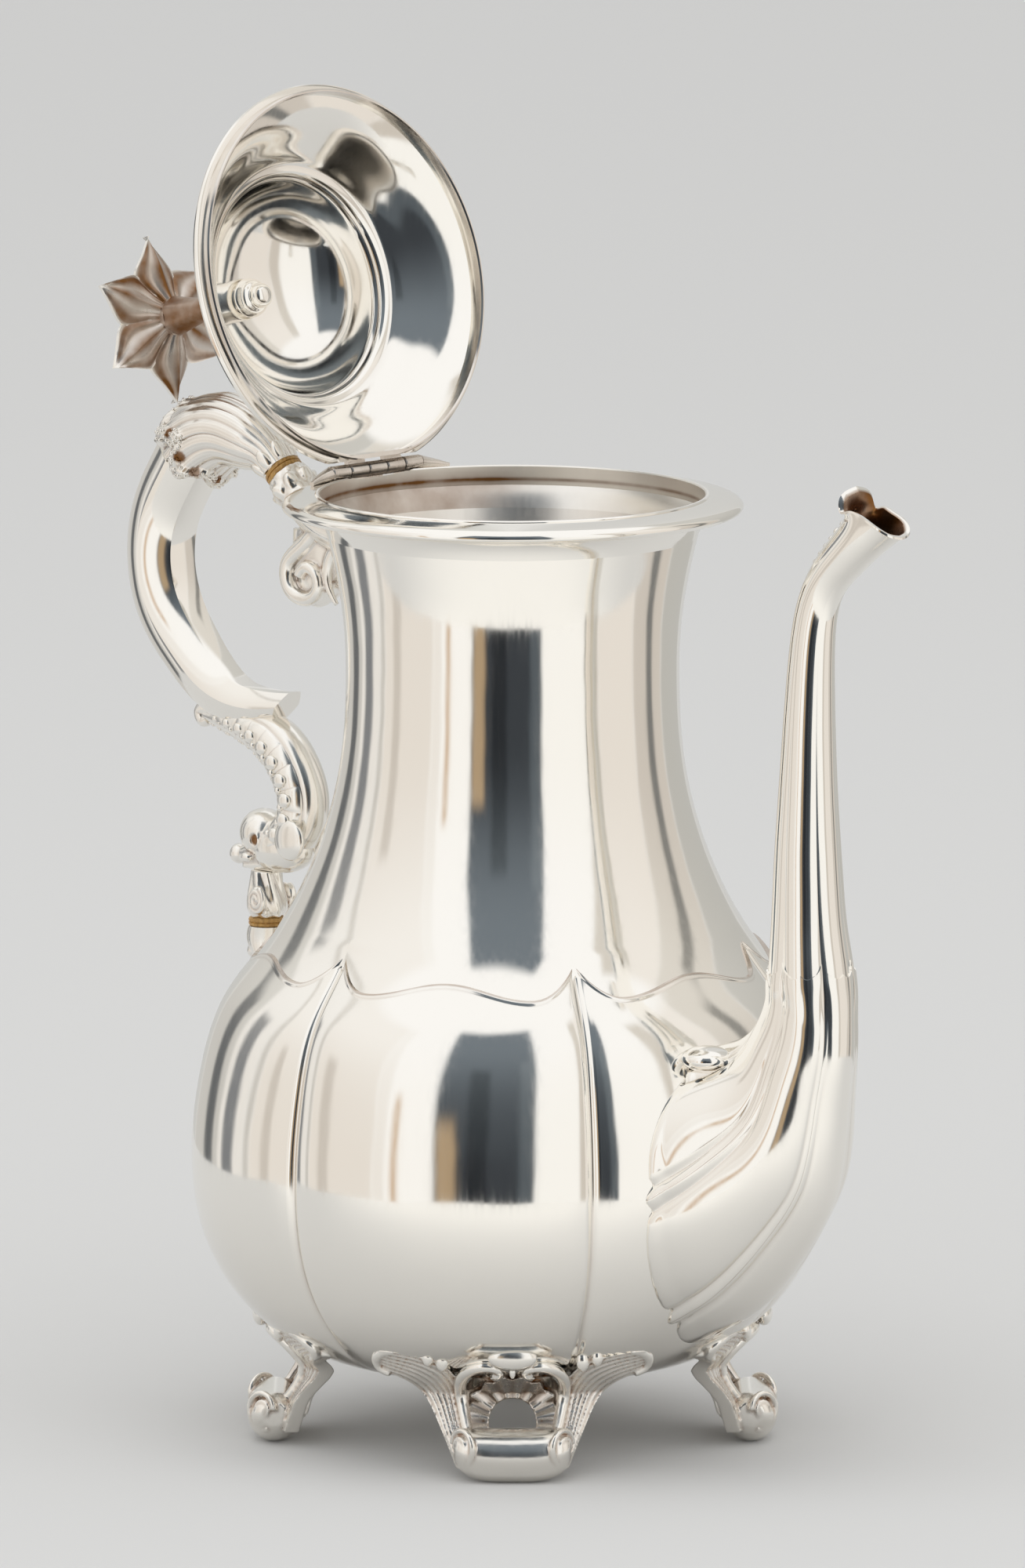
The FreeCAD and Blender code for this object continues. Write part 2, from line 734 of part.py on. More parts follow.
def strip_loop(radius, z, half_width, thickness, lean):
    """Closed section of a plate bent round the pot's axis; lean is the plate's tilt in degrees."""
    across_r = math.cos(math.radians(lean)) * thickness / 2
    across_z = math.sin(math.radians(lean)) * thickness / 2
    half = half_width / radius
    turns = (-half, -half / 2, 0, half / 2, half)
    outside = [polar(radius + across_r, t, z + across_z) for t in turns]
    inside = [polar(radius - across_r, t, z - across_z) for t in reversed(turns)]
    return Part.Wire([spline_edge(outside), Part.LineSegment(outside[-1], inside[0]).toShape(),
                      spline_edge(inside), Part.LineSegment(inside[-1], outside[0]).toShape()])


def strip_plate(sections):
    """Plate lofted through bent sections, closed across each end."""
    wires = [strip_loop(*section) for section in sections]
    faces = skin(wires)
    for wire in (wires[0], wires[-1]):
        outside, _, inside, _ = wire.Edges
        faces += Part.makeRuledSurface(outside, inside).Faces
    return sealed(faces)


def foot_blank():
    """Foot along +X: rolled toe, pierced leg that spreads into two wings, frame and boss on the belly."""
    toe_z = TOE_R - TOE_FLAT
    half = TOE_WIDTH / 2
    wing = WING_WIDTH / 2
    barrel = [Vector(TOE_RING_R + r, y, toe_z) for r, y in
              ((TOE_R - 1.8, -half), (TOE_R - 0.3, -half / 2), (TOE_R, 0), (TOE_R - 0.3, half / 2),
               (TOE_R - 1.8, half))]
    ends = [Vector(TOE_RING_R, -half, toe_z), Vector(TOE_RING_R, half, toe_z)]
    outline = Part.Wire([spline_edge(barrel), Part.LineSegment(barrel[-1], ends[1]).toShape(),
                         Part.LineSegment(ends[1], ends[0]).toShape(),
                         Part.LineSegment(ends[0], barrel[0]).toShape()])
    toe = Part.Face(outline).revolve(ends[0], SIDE, 360)
    back = TOE_RING_R - TOE_R
    leg = strip_plate([
        (back + 2.2, toe_z - 1.0, half - 1.5, LEG_T, 25),
        (back + 0.3, toe_z + 4.0, half - 0.5, LEG_T, 12),
        (back - 0.9, toe_z + 9.5, half + 1.0, LEG_T, -8),
        (back - 0.2, toe_z + 13.0, mix(half, wing, 0.4), LEG_T, -30),
        (back + 3.6, toe_z + 16.4, wing, LEG_T, -50)])
    arch = Part.makeCylinder(ARCH_R, TOE_RING_R - 30, Vector(30, 0, ARCH_Z), Vector(1, 0, 0))
    frame = strip_plate([
        (back + 0.6, toe_z + 10.5, half * 0.9, LEG_T, -30),
        (back + 5.6, toe_z + 16.6, half * 0.85, LEG_T, -50),
        (back + 10.6, toe_z + 22.6, BOSS_WIDTH / 2, LEG_T, -40)])
    boss_side = SIDE * (BOSS_WIDTH / 2 - BOSS_R)
    boss_at = xz(body_radius(toe_z + 23, math.radians(FOOT_ANGLE)) + BOSS_R / 2, toe_z + 23)
    boss = [rod(boss_at - boss_side, boss_at + boss_side, BOSS_R),
            Part.makeSphere(BOSS_R, boss_at - boss_side), Part.makeSphere(BOSS_R, boss_at + boss_side)]
    return fused([leg, frame] + boss).cut(arch).fuse(toe).cut(floor_block())


def floor_block():
    """Everything below the table's surface under a foot."""
    return Part.makeBox(200, 200, 50, Vector(-100, -100, -50))


def make_feet(core):
    """Four like feet, each seated on the lobes where it stands."""
    names = ("foot_spout_left", "foot_handle_left", "foot_handle_right", "foot_spout_right")
    angles = (FOOT_ANGLE, 180 - FOOT_ANGLE, 180 + FOOT_ANGLE, -FOOT_ANGLE)
    blank = foot_blank()
    feet = {}
    for name, angle in zip(names, angles):
        foot = blank.copy()
        foot.rotate(ORIGIN, UP, angle)
        feet[name] = foot.cut(core)
    return feet


# Lid, shaped closed

LID_Z = RIM_Z + LID_CLEAR


def lid_outline(inset):
    """Outside of the lid's stepped dome from its edge to the centre, or inside it by an inset."""
    edge = MOUTH_R - BEZEL_WALL
    points = [
        (edge, LID_FLANGE_T),
        (mix(edge, LID_STEP_R, 0.38), mix(LID_FLANGE_T, LID_STEP_H, 0.40)),
        (mix(edge, LID_STEP_R, 0.70), mix(LID_FLANGE_T, LID_STEP_H, 0.76)),
        (LID_STEP_R + 1.2, LID_STEP_H - 0.9),
        (LID_STEP_R, LID_STEP_H),
        (LID_STEP_R * 0.92, mix(LID_STEP_H, LID_TOP_H, 0.30)),
        (LID_STEP_R * 0.67, mix(LID_STEP_H, LID_TOP_H, 0.74)),
        (LID_STEP_R * 0.34, mix(LID_STEP_H, LID_TOP_H, 0.95)),
        (STUD_R, LID_TOP_H),
    ]
    curve = Part.BSplineCurve()
    curve.interpolate([Vector(r, 0, LID_Z + h) for r, h in points])
    if not inset:
        return curve
    shifted = []
    for i in range(17):
        parameter = mix(curve.FirstParameter, curve.LastParameter, i / 16)
        along = curve.tangent(parameter)[0]
        place = curve.value(parameter) + xz(-along.z, along.x) * inset
        shifted.append(place)
    shifted[0] = xz(shifted[0].x, LID_Z + LID_FLANGE_T)
    shifted[-1] = xz(STUD_R, shifted[-1].z)
    inner = Part.BSplineCurve()
    inner.interpolate(shifted)
    return inner


def lid_under():
    """Space under the outside of the dome, down to the flange's seat."""
    dome = lid_outline(0).toShape()
    start = dome.Vertexes[0].Point
    end = dome.Vertexes[-1].Point
    foot = [end, xz(STUD_R, LID_Z), xz(start.x, LID_Z), start]
    return turned([dome] + Part.makePolygon(foot).Edges)


def front_of_hinge():
    """Half space in front of the hinge, which the closed lid keeps to."""
    x = HINGE_X + KNUCKLE_R + CHORD_GAP
    return Part.makeBox(200, 200, 200, Vector(x, -100, LID_Z - 100))


def make_lid_dome():
    outer = lid_outline(0).toShape()
    inner = lid_outline(LID_WALL).toShape()
    ends = [(outer.Vertexes[k].Point, inner.Vertexes[k].Point) for k in (0, -1)]
    edges = [outer, inner] + [Part.LineSegment(a, b).toShape() for a, b in ends]
    return turned(Part.__sortEdges__(edges)).common(front_of_hinge())


def make_lid_flange(dome):
    """Edge ring of the lid, closed along the hinge by a straight wall that the knuckles are soldered to."""
    inside = MOUTH_R - WALL - BEZEL_CLEAR - BEZEL_WALL
    nose = LID_FLANGE_T / 2
    points = [xz(inside, LID_Z), xz(LID_R - nose, LID_Z), xz(LID_R, LID_Z + nose),
              xz(LID_R - nose, LID_Z + LID_FLANGE_T), xz(inside, LID_Z + LID_FLANGE_T)]
    edges = [Part.LineSegment(points[0], points[1]).toShape(), Part.Arc(*points[1:4]).toShape(),
             Part.makePolygon(points[3:] + points[:1]).Edges]
    ring = turned(edges[:2] + edges[2]).common(front_of_hinge())
    wall_x = HINGE_X + KNUCKLE_R + CHORD_GAP
    wall = Part.makeBox(CHORD_WALL, LID_R, LID_STEP_H, Vector(wall_x, -LID_R / 2, LID_Z))
    return fused([ring, wall.common(lid_under())]).cut(dome)


def make_lid_bezel():
    radius = MOUTH_R - WALL - BEZEL_CLEAR
    ring = turned_polygon([(radius, LID_Z), (radius - BEZEL_WALL, LID_Z),
                           (radius - BEZEL_WALL, LID_Z - BEZEL_DEPTH), (radius, LID_Z - BEZEL_DEPTH)])
    return ring.common(front_of_hinge())


def make_finial_stem():
    """Turned stem with a leafy knop, seated on the dome."""
    top = LID_Z + FINIAL_H
    low = LID_Z + LID_TOP_H
    outline = [xz(STUD_R, low), xz(STEM_R, low), xz(mix(STEM_WAIST_R, STEM_R, 0.38), mix(low, top, 0.18)),
               xz(STEM_WAIST_R, mix(low, top, 0.5)), xz(mix(STEM_WAIST_R, HUB_R, 0.35), mix(low, top, 0.8)),
               xz(HUB_R, top)]
    edges = [Part.LineSegment(outline[0], outline[1]).toShape(), spline_edge(outline[1:]),
             Part.LineSegment(outline[-1], xz(STUD_R, top)).toShape(),
             Part.LineSegment(xz(STUD_R, top), outline[0]).toShape()]
    stem = turned(edges)
    skirt = turned_polygon([(STUD_R, low - LID_WALL), (STEM_R, low - LID_WALL), (STEM_R, low), (STUD_R, low)])
    return fused([stem, skirt]).cut(lid_under())


def petal_loop(reach, half_width, lift, thickness):
    """Section across a petal along +X: folded along its middle like a shallow roof."""
    base = LID_Z + FINIAL_H
    fold = half_width * 0.35
    low = [Vector(reach, -half_width, base + lift + fold), Vector(reach, 0, base + lift),
           Vector(reach, half_width, base + lift + fold)]
    high = [p + UP * thickness for p in reversed(low)]
    return Part.makePolygon(low + high + low[:1])


def make_petals():
    """Flower of pointed folded petals on a small hub, with a bud in the middle."""
    base = LID_Z + FINIAL_H
    petal = Part.makeLoft([petal_loop(PETAL_R * k, PETAL_R * w, lift, t) for k, w, lift, t in
                           ((0.12, 0.12, 0.3, 1.2), (0.35, 0.24, 1.2, 1.1), (0.62, 0.26, 2.6, 1.0),
                            (0.85, 0.14, 4.0, 0.9), (1.0, 0.02, 4.6, 0.8))], True)
    shapes = [turned_polygon([(STUD_R, base), (HUB_R, base), (HUB_R, base + HUB_T), (STUD_R, base + HUB_T)])]
    for i in range(PETALS):
        leaf = petal.copy()
        leaf.rotate(ORIGIN, UP, 360.0 * i / PETALS)
        shapes.append(leaf)
    hole = Part.makeCylinder(STUD_R, FINIAL_H, Vector(0, 0, base))
    return fused(shapes).cut(hole)


def nut_seat():
    """Height of the inside of the dome at its centre."""
    return lid_outline(LID_WALL).value(lid_outline(LID_WALL).LastParameter).z


def make_finial_stud():
    """Stud from the ball nut up through the dome, the stem and the flower to a rounded bud."""
    top = LID_Z + FINIAL_H + HUB_T
    low = nut_seat() - NUT_R * 1.4
    shoulder = top + BUD_H * 0.7
    return fused([Part.makeCylinder(STUD_R, top - low, Vector(0, 0, low)),
                  turned_polygon([(0, top), (BUD_R, top), (BUD_R * 0.77, shoulder), (0, top + BUD_H)])])


def make_finial_nut(dome):
    """Ball nut that bears on the inside of the dome."""
    seat = nut_seat()
    ball = Part.makeSphere(NUT_R, Vector(0, 0, seat - NUT_R * 0.7))
    above = Part.makeBox(2 * NUT_R, 2 * NUT_R, NUT_R, Vector(-NUT_R, -NUT_R, seat))
    stud = Part.makeCylinder(STUD_R, NUT_R * 1.4, Vector(0, 0, seat - NUT_R * 1.4))
    return ball.cut(dome).cut(above).cut(stud)


# Hinge

def knuckle_start(index):
    total = KNUCKLES * KNUCKLE_L
    return -total / 2 + index * KNUCKLE_L + KNUCKLE_GAP / 2


def make_knuckles(first, bore, tab_start, tab_end, tab_low, tab_high):
    """Every other knuckle from the first, each with its tab along X."""
    shapes = []
    for index in range(first, KNUCKLES, 2):
        y = knuckle_start(index)
        length = KNUCKLE_L - KNUCKLE_GAP
        tube = Part.makeCylinder(KNUCKLE_R, length, Vector(HINGE_X, y, HINGE_Z), SIDE)
        tab = Part.makeBox(tab_end - tab_start, length, tab_high - tab_low, Vector(tab_start, y, tab_low))
        hole = Part.makeCylinder(bore, length, Vector(HINGE_X, y, HINGE_Z), SIDE)
        shapes.append(fused([tube, tab]).cut(hole))
    return Part.makeCompound(shapes)


def make_body_knuckles(band, rim):
    """Fixed knuckles, each with a tab down to the top of the rim moulding behind it."""
    low = RIM_Z - RIM_DEPTH / 2
    tabs = make_knuckles(0, PIN_R + PIN_CLEAR / 2, HINGE_X - TAB_REACH, HINGE_X, low, HINGE_Z)
    return tabs.cut(band).cut(rim)


def make_lid_knuckles():
    edge = HINGE_X + KNUCKLE_R + CHORD_GAP
    low = LID_Z + (LID_FLANGE_T - TAB_T) / 2
    return make_knuckles(1, PIN_R + PIN_CLEAR, HINGE_X, edge, low, low + TAB_T)


def make_hinge_pin():
    length = KNUCKLES * KNUCKLE_L
    return Part.makeCylinder(PIN_R, length, Vector(HINGE_X, -length / 2, HINGE_Z), SIDE)


def swung_open(shape):
    """Lid piece turned from closed to open about the hinge."""
    turned_shape = shape.copy()
    turned_shape.rotate(Vector(HINGE_X, 0, HINGE_Z), SIDE * -1, OPEN_ANGLE)
    return turned_shape


def main():
    os.makedirs("parts", exist_ok=True)
    core = body_core()
    pieces = {}
    pieces["lower_body"] = make_lower_body()
    pieces["upper_body"] = make_upper_body()
    pieces["mouth_band"] = make_mouth_band()
    pieces["rim_moulding"] = make_rim_moulding()
    pieces["spout_lower"] = make_spout_lower(core)
    pieces["spout_upper"] = make_spout_upper()
    pieces["spout_crest"] = make_spout_crest(pieces["spout_upper"])
    pieces.update(make_feet(core))
    seats = [neck_core(), pieces["mouth_band"], pieces["rim_moulding"]]
    pieces["handle_upper_socket"] = make_upper_socket(seats)
    pieces["upper_insulator"] = make_heat_break(*upper_break_data())
    pieces["upper_insulator_pins"] = make_break_pins(*upper_break_data())
    pieces["handle_leaf_cap"] = make_leaf_cap()
    pieces["handle_grip"] = make_grip()
    pieces["handle_tail"] = make_tail(pieces["handle_grip"])
    pieces["dolphin_head"] = make_head()
    pieces["lower_collar"] = make_collar()
    pieces["lower_insulator"] = make_heat_break(*lower_break_data())
    pieces["lower_insulator_pins"] = make_break_pins(*lower_break_data())
    pieces["handle_lower_socket"] = make_lower_socket(core)
    pieces["body_knuckles"] = make_body_knuckles(pieces["mouth_band"], pieces["rim_moulding"])
    pieces["hinge_pin"] = make_hinge_pin()
    dome = make_lid_dome()
    lid = {
        "lid_dome": dome,
        "lid_flange": make_lid_flange(dome),
        "lid_bezel": make_lid_bezel(),
        "finial_stem": make_finial_stem(),
        "finial_petals": make_petals(),
        "finial_stud": make_finial_stud(),
        "finial_nut": make_finial_nut(dome),
        "lid_knuckles": make_lid_knuckles(),
    }
    for name, shape in lid.items():
        pieces[name] = swung_open(shape)
    for name, shape in pieces.items():
        shape.exportStep("parts/" + name + ".step")
        print(name, len(shape.Solids), "valid" if shape.isValid() else "INVALID", round(shape.Volume, 1))


if __name__ == "__main__":
    main()
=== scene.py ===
"""Dressed model of a silver coffee pot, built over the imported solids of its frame."""
import json
import math

import bmesh
import bpy
import numpy as np
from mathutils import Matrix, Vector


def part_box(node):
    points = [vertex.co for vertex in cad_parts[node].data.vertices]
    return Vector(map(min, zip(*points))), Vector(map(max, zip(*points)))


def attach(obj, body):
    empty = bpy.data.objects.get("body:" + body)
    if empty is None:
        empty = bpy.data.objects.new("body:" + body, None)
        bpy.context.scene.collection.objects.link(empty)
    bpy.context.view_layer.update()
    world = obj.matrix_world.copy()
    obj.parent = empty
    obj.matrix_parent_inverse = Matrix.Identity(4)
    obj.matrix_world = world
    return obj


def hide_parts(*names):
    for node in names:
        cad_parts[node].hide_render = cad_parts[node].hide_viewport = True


bl_info = {
    "name": "Silver Coffee Pot",
    "version": (1, 0, 0),
    "blender": (4, 5, 0),
    "location": "View3D > Sidebar > Coffee Pot",
    "description": "Builds the dressed pieces of a lobed silver coffee pot over its solids",
    "category": "Add Mesh",
}

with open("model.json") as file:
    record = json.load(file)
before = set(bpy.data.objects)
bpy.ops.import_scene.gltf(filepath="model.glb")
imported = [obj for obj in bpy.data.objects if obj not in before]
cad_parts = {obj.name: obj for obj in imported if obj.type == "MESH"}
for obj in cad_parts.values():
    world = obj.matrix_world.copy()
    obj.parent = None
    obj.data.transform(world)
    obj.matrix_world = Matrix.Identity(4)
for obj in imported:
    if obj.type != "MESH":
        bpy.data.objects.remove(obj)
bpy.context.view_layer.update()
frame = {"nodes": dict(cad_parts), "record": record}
MM = 0.001
SIDE = np.array((0.0, 1.0, 0.0))


def node_box(node):
    """Lowest and highest corner of a CAD node, in millimetres."""
    low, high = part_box(node)
    return np.array(low) / MM, np.array(high) / MM


HINGE = np.array(frame["record"]["behaviour"]["joints"][0]["pos_m"]) / MM
OPEN_ANGLE = -math.radians(frame["record"]["behaviour"]["joints"][0]["range_deg"][0])
BASE_Z = node_box("lower_body")[0][2]
TOP_Z = node_box("mouth_band")[0][2]
RIM_Z = node_box("mouth_band")[1][2]
MOUTH_R = node_box("mouth_band")[1][1]
SEAT_GAP = 0.3
LID_Z = RIM_Z + SEAT_GAP

# Outline of the body on the crown of a lobe: radius and height.
BODY_OUTLINE = ((30.0, 16.5), (45.9, 21.5), (57.3, 30.9), (65.1, 44.5), (67.7, 61.6), (65.7, 79.4),
                (60.2, 95.0), (52.4, 105.0), (43.2, 121.0), (36.8, 143.0), (35.5, 160.0), (36.1, 174.9),
                (39.4, 191.8))
LOBES = 6
LOBE_COLUMNS = 48
COLUMNS = LOBES * LOBE_COLUMNS
# Heights of the waist line and of the spout's joint.
WAIST_Z = 105.0
JOINT_Z = 110.0
# How far the neck sits inside the belly's edge.
NECK_INSET = 0.6
# The lid is cut off straight here, clear of its hinge.
CHORD_X = HINGE[0] + 2.1
POLISHED, CHASED, BONE = "polished_sterling_silver", "chased_sterling_silver", "aged_bone"


# Shapes

def lengths(points):
    """Length of a line of points up to each of them."""
    return np.concatenate([[0.0], np.cumsum(np.linalg.norm(np.diff(points, axis=0), axis=1))])


def spline(points, count):
    """Smooth curve through rows of numbers, sampled at even steps of its chord length."""
    p = np.asarray(points, float)
    t = lengths(p)
    return spline_at(p, t, np.linspace(0.0, t[-1], count))


def spline_at(p, t, s):
    """Natural cubic spline through values p at t, read at s."""
    p, t, s = np.asarray(p, float), np.asarray(t, float), np.asarray(s, float)
    n, h = len(p), np.diff(t)
    system, right = np.eye(n), np.zeros_like(p)
    for i in range(1, n - 1):
        system[i, i - 1:i + 2] = h[i - 1], 2 * (h[i - 1] + h[i]), h[i]
        right[i] = 6 * ((p[i + 1] - p[i]) / h[i] - (p[i] - p[i - 1]) / h[i - 1])
    m = np.linalg.solve(system, right)
    k = np.clip(np.searchsorted(t, s, side="right") - 1, 0, n - 2)
    u, v, w = (s - t[k])[:, None], (t[k + 1] - s)[:, None], h[k][:, None]
    bend = (m[k] * v ** 3 + m[k + 1] * u ** 3) / (6 * w)
    return bend + (p[k] / w - m[k] * w / 6) * v + (p[k + 1] / w - m[k + 1] * w / 6) * u


def smooth_step(low, high, x):
    """0 below low, 1 above high and an even rise between."""
    k = np.clip((np.asarray(x, float) - low) / (high - low), 0.0, 1.0)
    return k * k * (3 - 2 * k)


def share_between(a, b, k):
    """Value a share k of the way from a to b."""
    return a + (b - a) * k


def around(count, start=0.0):
    """Angles of columns evenly round a turn."""
    return start + np.linspace(0, 2 * math.pi, count, endpoint=False)


def lathe(profile, columns, start=0.0):
    """Rows of points of an (r, z) profile turned round the pot's axis."""
    r, z = np.asarray(profile, float).T
    turn = around(columns, start)
    x, y = np.outer(r, np.cos(turn)), np.outer(r, np.sin(turn))
    return np.stack([x, y, np.outer(z, np.ones(columns))], axis=-1)


def reach_of(points):
    """Distance of points from the pot's axis."""
    return np.hypot(points[..., 0], points[..., 1])


def tangents(path):
    """Unit direction along a path at each of its points."""
    way = np.gradient(path, axis=0)
    return way / np.linalg.norm(way, axis=1)[:, None]


def sweep(path, across, deep):
    """Rings along a path in the XZ plane; across and deep are offsets of the section, row by row."""
    outward = np.cross(SIDE, tangents(path))
    return path[:, None] + SIDE * across[..., None] + outward[:, None] * deep[..., None]


def capped(rings):
    """Rings closed at both ends by a point at the middle."""
    first = np.broadcast_to(rings[0].mean(axis=0), rings[:1].shape)
    last = np.broadcast_to(rings[-1].mean(axis=0), rings[:1].shape)
    return np.concatenate([first, rings, last])


def shell(outer, inner):
    """Thin wall: up the outside, over the edge and down the inside, closed where the two start."""
    return np.concatenate([outer, inner[::-1], outer[:1]])


def ball(centre, radius, columns=24, turn=None):
    """Rows of an ellipsoid; radius is one number or three, turn an optional rotation matrix."""
    rise = np.linspace(-math.pi / 2, math.pi / 2, columns // 2 + 1)
    grid = lathe(np.stack([np.cos(rise), np.sin(rise)], axis=1), columns) * radius
    return (grid if turn is None else grid @ np.asarray(turn).T) + np.asarray(centre, float)


def tube(path, radius, columns=14, flat=1.0, face=(1.0, 0.0, 0.0)):
    """Closed rod along any path; flat thins it towards face."""
    path = np.asarray(path, float)
    way = tangents(path)
    across = np.cross(way, face)
    across /= np.maximum(np.linalg.norm(across, axis=1)[:, None], 1e-6)
    front = np.cross(across, way)
    turn = around(columns)
    size = np.broadcast_to(radius, len(path))[:, None, None]
    rings = across[:, None] * np.cos(turn)[:, None] + front[:, None] * (np.sin(turn) * flat)[:, None]
    return capped(path[:, None] + rings * size)


def spun(points, degrees):
    """Points turned about the pot's axis."""
    c, s = math.cos(math.radians(degrees)), math.sin(math.radians(degrees))
    return points @ np.array(((c, s, 0), (-s, c, 0), (0, 0, 1)))


def opened(points):
    """Points of the closed lid, swung open about the hinge."""
    c, s = math.cos(OPEN_ANGLE), math.sin(OPEN_ANGLE)
    return (points - HINGE) @ np.array(((c, 0, s), (0, 1, 0), (-s, 0, c))) + HINGE


# Pieces

# Points nearer than this are one point, and edges shorter than this are no edge, in metres.
DOUBLED, DEGENERATE = 2e-6, 1e-7


def mesh_of(name, grids, tarnish_and_shade=None, satin=None):
    """Mesh from grids whose columns run round; doubled points are merged and finishes become attributes."""
    points, faces, start = [], [], 0
    for grid in grids:
        rows, columns = grid.shape[:2]
        index = start + np.arange(rows * columns).reshape(rows, columns)
        beside = np.roll(index, -1, axis=1)
        faces += np.stack([index[:-1], beside[:-1], beside[1:], index[1:]], axis=-1).reshape(-1, 4).tolist()
        points.append(grid.reshape(-1, 3) * MM)
        start += rows * columns
    mesh = bpy.data.meshes.new(name)
    mesh.from_pydata(np.concatenate(points).tolist(), [], faces)
    for finish, values in (("tarnish", tarnish_and_shade), ("satin", satin)):
        if values is not None:
            flat = [np.broadcast_to(value, grid.shape[:2]).ravel() for value, grid in zip(values, grids)]
            mesh.attributes.new(finish, "FLOAT", "POINT").data.foreach_set("value", np.concatenate(flat))
    tidy_mesh(mesh)
    return mesh


def tidy_mesh(mesh):
    """Merges doubled points and turns the faces outwards."""
    bm = bmesh.new()
    bm.from_mesh(mesh)
    bmesh.ops.remove_doubles(bm, verts=bm.verts, dist=DOUBLED)
    bmesh.ops.dissolve_degenerate(bm, edges=bm.edges, dist=DEGENERATE)
    bmesh.ops.recalc_face_normals(bm, faces=bm.faces)
    bm.to_mesh(mesh)
    bm.free()


def modelled(mesh, *modifiers):
    """Plain mesh after modifiers, each a type and its settings."""
    holder = bpy.data.objects.new(mesh.name, mesh)
    bpy.context.collection.objects.link(holder)
    for kind, settings in modifiers:
        modifier = holder.modifiers.new(kind, kind)
        for key, value in settings.items():
            setattr(modifier, key, value)
    seen = holder.evaluated_get(bpy.context.evaluated_depsgraph_get())
    result = bpy.data.meshes.new_from_object(seen)
    bpy.data.objects.remove(holder)
    return result


def united(name, grids, voxel, smooth=2):
    """One skin round overlapping grids, as a casting has; voxel is the skin's grain in millimetres."""
    return modelled(mesh_of(name, grids),
                    ("REMESH", {"mode": "VOXEL", "voxel_size": voxel * MM, "use_smooth_shade": True}),
                    ("SMOOTH", {"factor": 0.5, "iterations": smooth}))


def joined(*meshes):
    """One mesh from several."""
    bm = bmesh.new()
    for mesh in meshes:
        bm.from_mesh(mesh)
    bm.to_mesh(meshes[0])
    bm.free()
    return meshes[0]


def grain_tree():
    """Geometry Nodes that set a small ball on every point, each a little uneven in size."""
    if "Grains" in bpy.data.node_groups:
        return bpy.data.node_groups["Grains"]
    tree = bpy.data.node_groups.new("Grains", "GeometryNodeTree")
    for name, kind in (("Points", "Geometry"), ("Radius", "Float"), ("Smallest", "Float"),
                       ("Finish", "Material")):
        tree.interface.new_socket(name, in_out="INPUT", socket_type="NodeSocket" + kind)
    tree.interface.new_socket("Grains", in_out="OUTPUT", socket_type="NodeSocketGeometry")
    given = add(tree, "NodeGroupInput").outputs
    grain = add(tree, "GeometryNodeMeshIcoSphere", {"Subdivisions": 2},
                {"Radius": given["Radius"]}).outputs["Mesh"]
    size = add(tree, "FunctionNodeRandomValue", {3: 1.0, "Seed": 7}, {2: given["Smallest"]},
               data_type="FLOAT").outputs[1]
    placed = add(tree, "GeometryNodeInstanceOnPoints", None,
                 {"Points": given["Points"], "Instance": grain, "Scale": size}).outputs[0]
    real = add(tree, "GeometryNodeRealizeInstances", None, {0: placed}).outputs[0]
    done = add(tree, "GeometryNodeSetMaterial", None,
               {"Geometry": real, "Material": given["Finish"]}).outputs[0]
    add(tree, "NodeGroupOutput", None, {0: done})
    return tree


def grains(points, radius, material, smallest=0.7):
    """Plain mesh of small balls on points; radius in millimetres."""
    mesh = bpy.data.meshes.new("grains")
    mesh.from_pydata((np.asarray(points) * MM).tolist(), [], [])
    holder = bpy.data.objects.new("grains", mesh)
    bpy.context.collection.objects.link(holder)
    modifier = holder.modifiers.new("Grains", "NODES")
    modifier.node_group = grain_tree()
    values = {"Radius": radius * MM, "Smallest": smallest, "Finish": material}
    for item in modifier.node_group.interface.items_tree:
        if item.in_out == "INPUT" and item.name in values:
            modifier[item.identifier] = values[item.name]
    seen = holder.evaluated_get(bpy.context.evaluated_depsgraph_get())
    result = bpy.data.meshes.new_from_object(seen)
    bpy.data.objects.remove(holder)
    return result


def points_of(mesh):
    """Vertex places of a mesh, in millimetres."""
    flat = np.empty(len(mesh.vertices) * 3)
    mesh.vertices.foreach_get("co", flat)
    return flat.reshape(-1, 3) / MM


def set_points(mesh, points):
    """Moves the vertices of a mesh to places given in millimetres."""
    mesh.vertices.foreach_set("co", (points * MM).ravel())
    mesh.update()


def tarnish(mesh, strength, spread, extra=0.0):
    """Stores how dark each point has turned: hollows keep their tarnish, and extra adds more to each
    (painted shade on the feet).
    """
    points = points_of(mesh)
    normals = np.empty(len(points) * 3)
    mesh.vertices.foreach_get("normal", normals)
    normals = normals.reshape(-1, 3)
    ends = np.empty(len(mesh.edges) * 2, dtype=np.int32)
    mesh.edges.foreach_get("vertices", ends)
    a, b = ends.reshape(-1, 2).T
    step = points[b] - points[a]
    reach = np.maximum((step ** 2).sum(axis=1), 1e-9)
    bend_a = (normals[a] * step).sum(axis=1) / reach
    bend_b = -(normals[b] * step).sum(axis=1) / reach
    count = np.maximum(np.bincount(a, minlength=len(points)) + np.bincount(b, minlength=len(points)), 1)
    hollow = (np.bincount(a, bend_a, len(points)) + np.bincount(b, bend_b, len(points))) / count
    dark = np.clip(hollow * strength, 0.0, 1.5)
    for _ in range(spread):
        beside = (np.bincount(a, dark[b], len(points)) + np.bincount(b, dark[a], len(points))) / count
        dark = 0.5 * dark + 0.5 * beside
    layer = mesh.attributes.get("tarnish") or mesh.attributes.new("tarnish", "FLOAT", "POINT")
    laid = np.empty(len(points))
    layer.data.foreach_get("value", laid)
    layer.data.foreach_set("value", np.clip(dark + extra + laid, 0.0, 1.0))


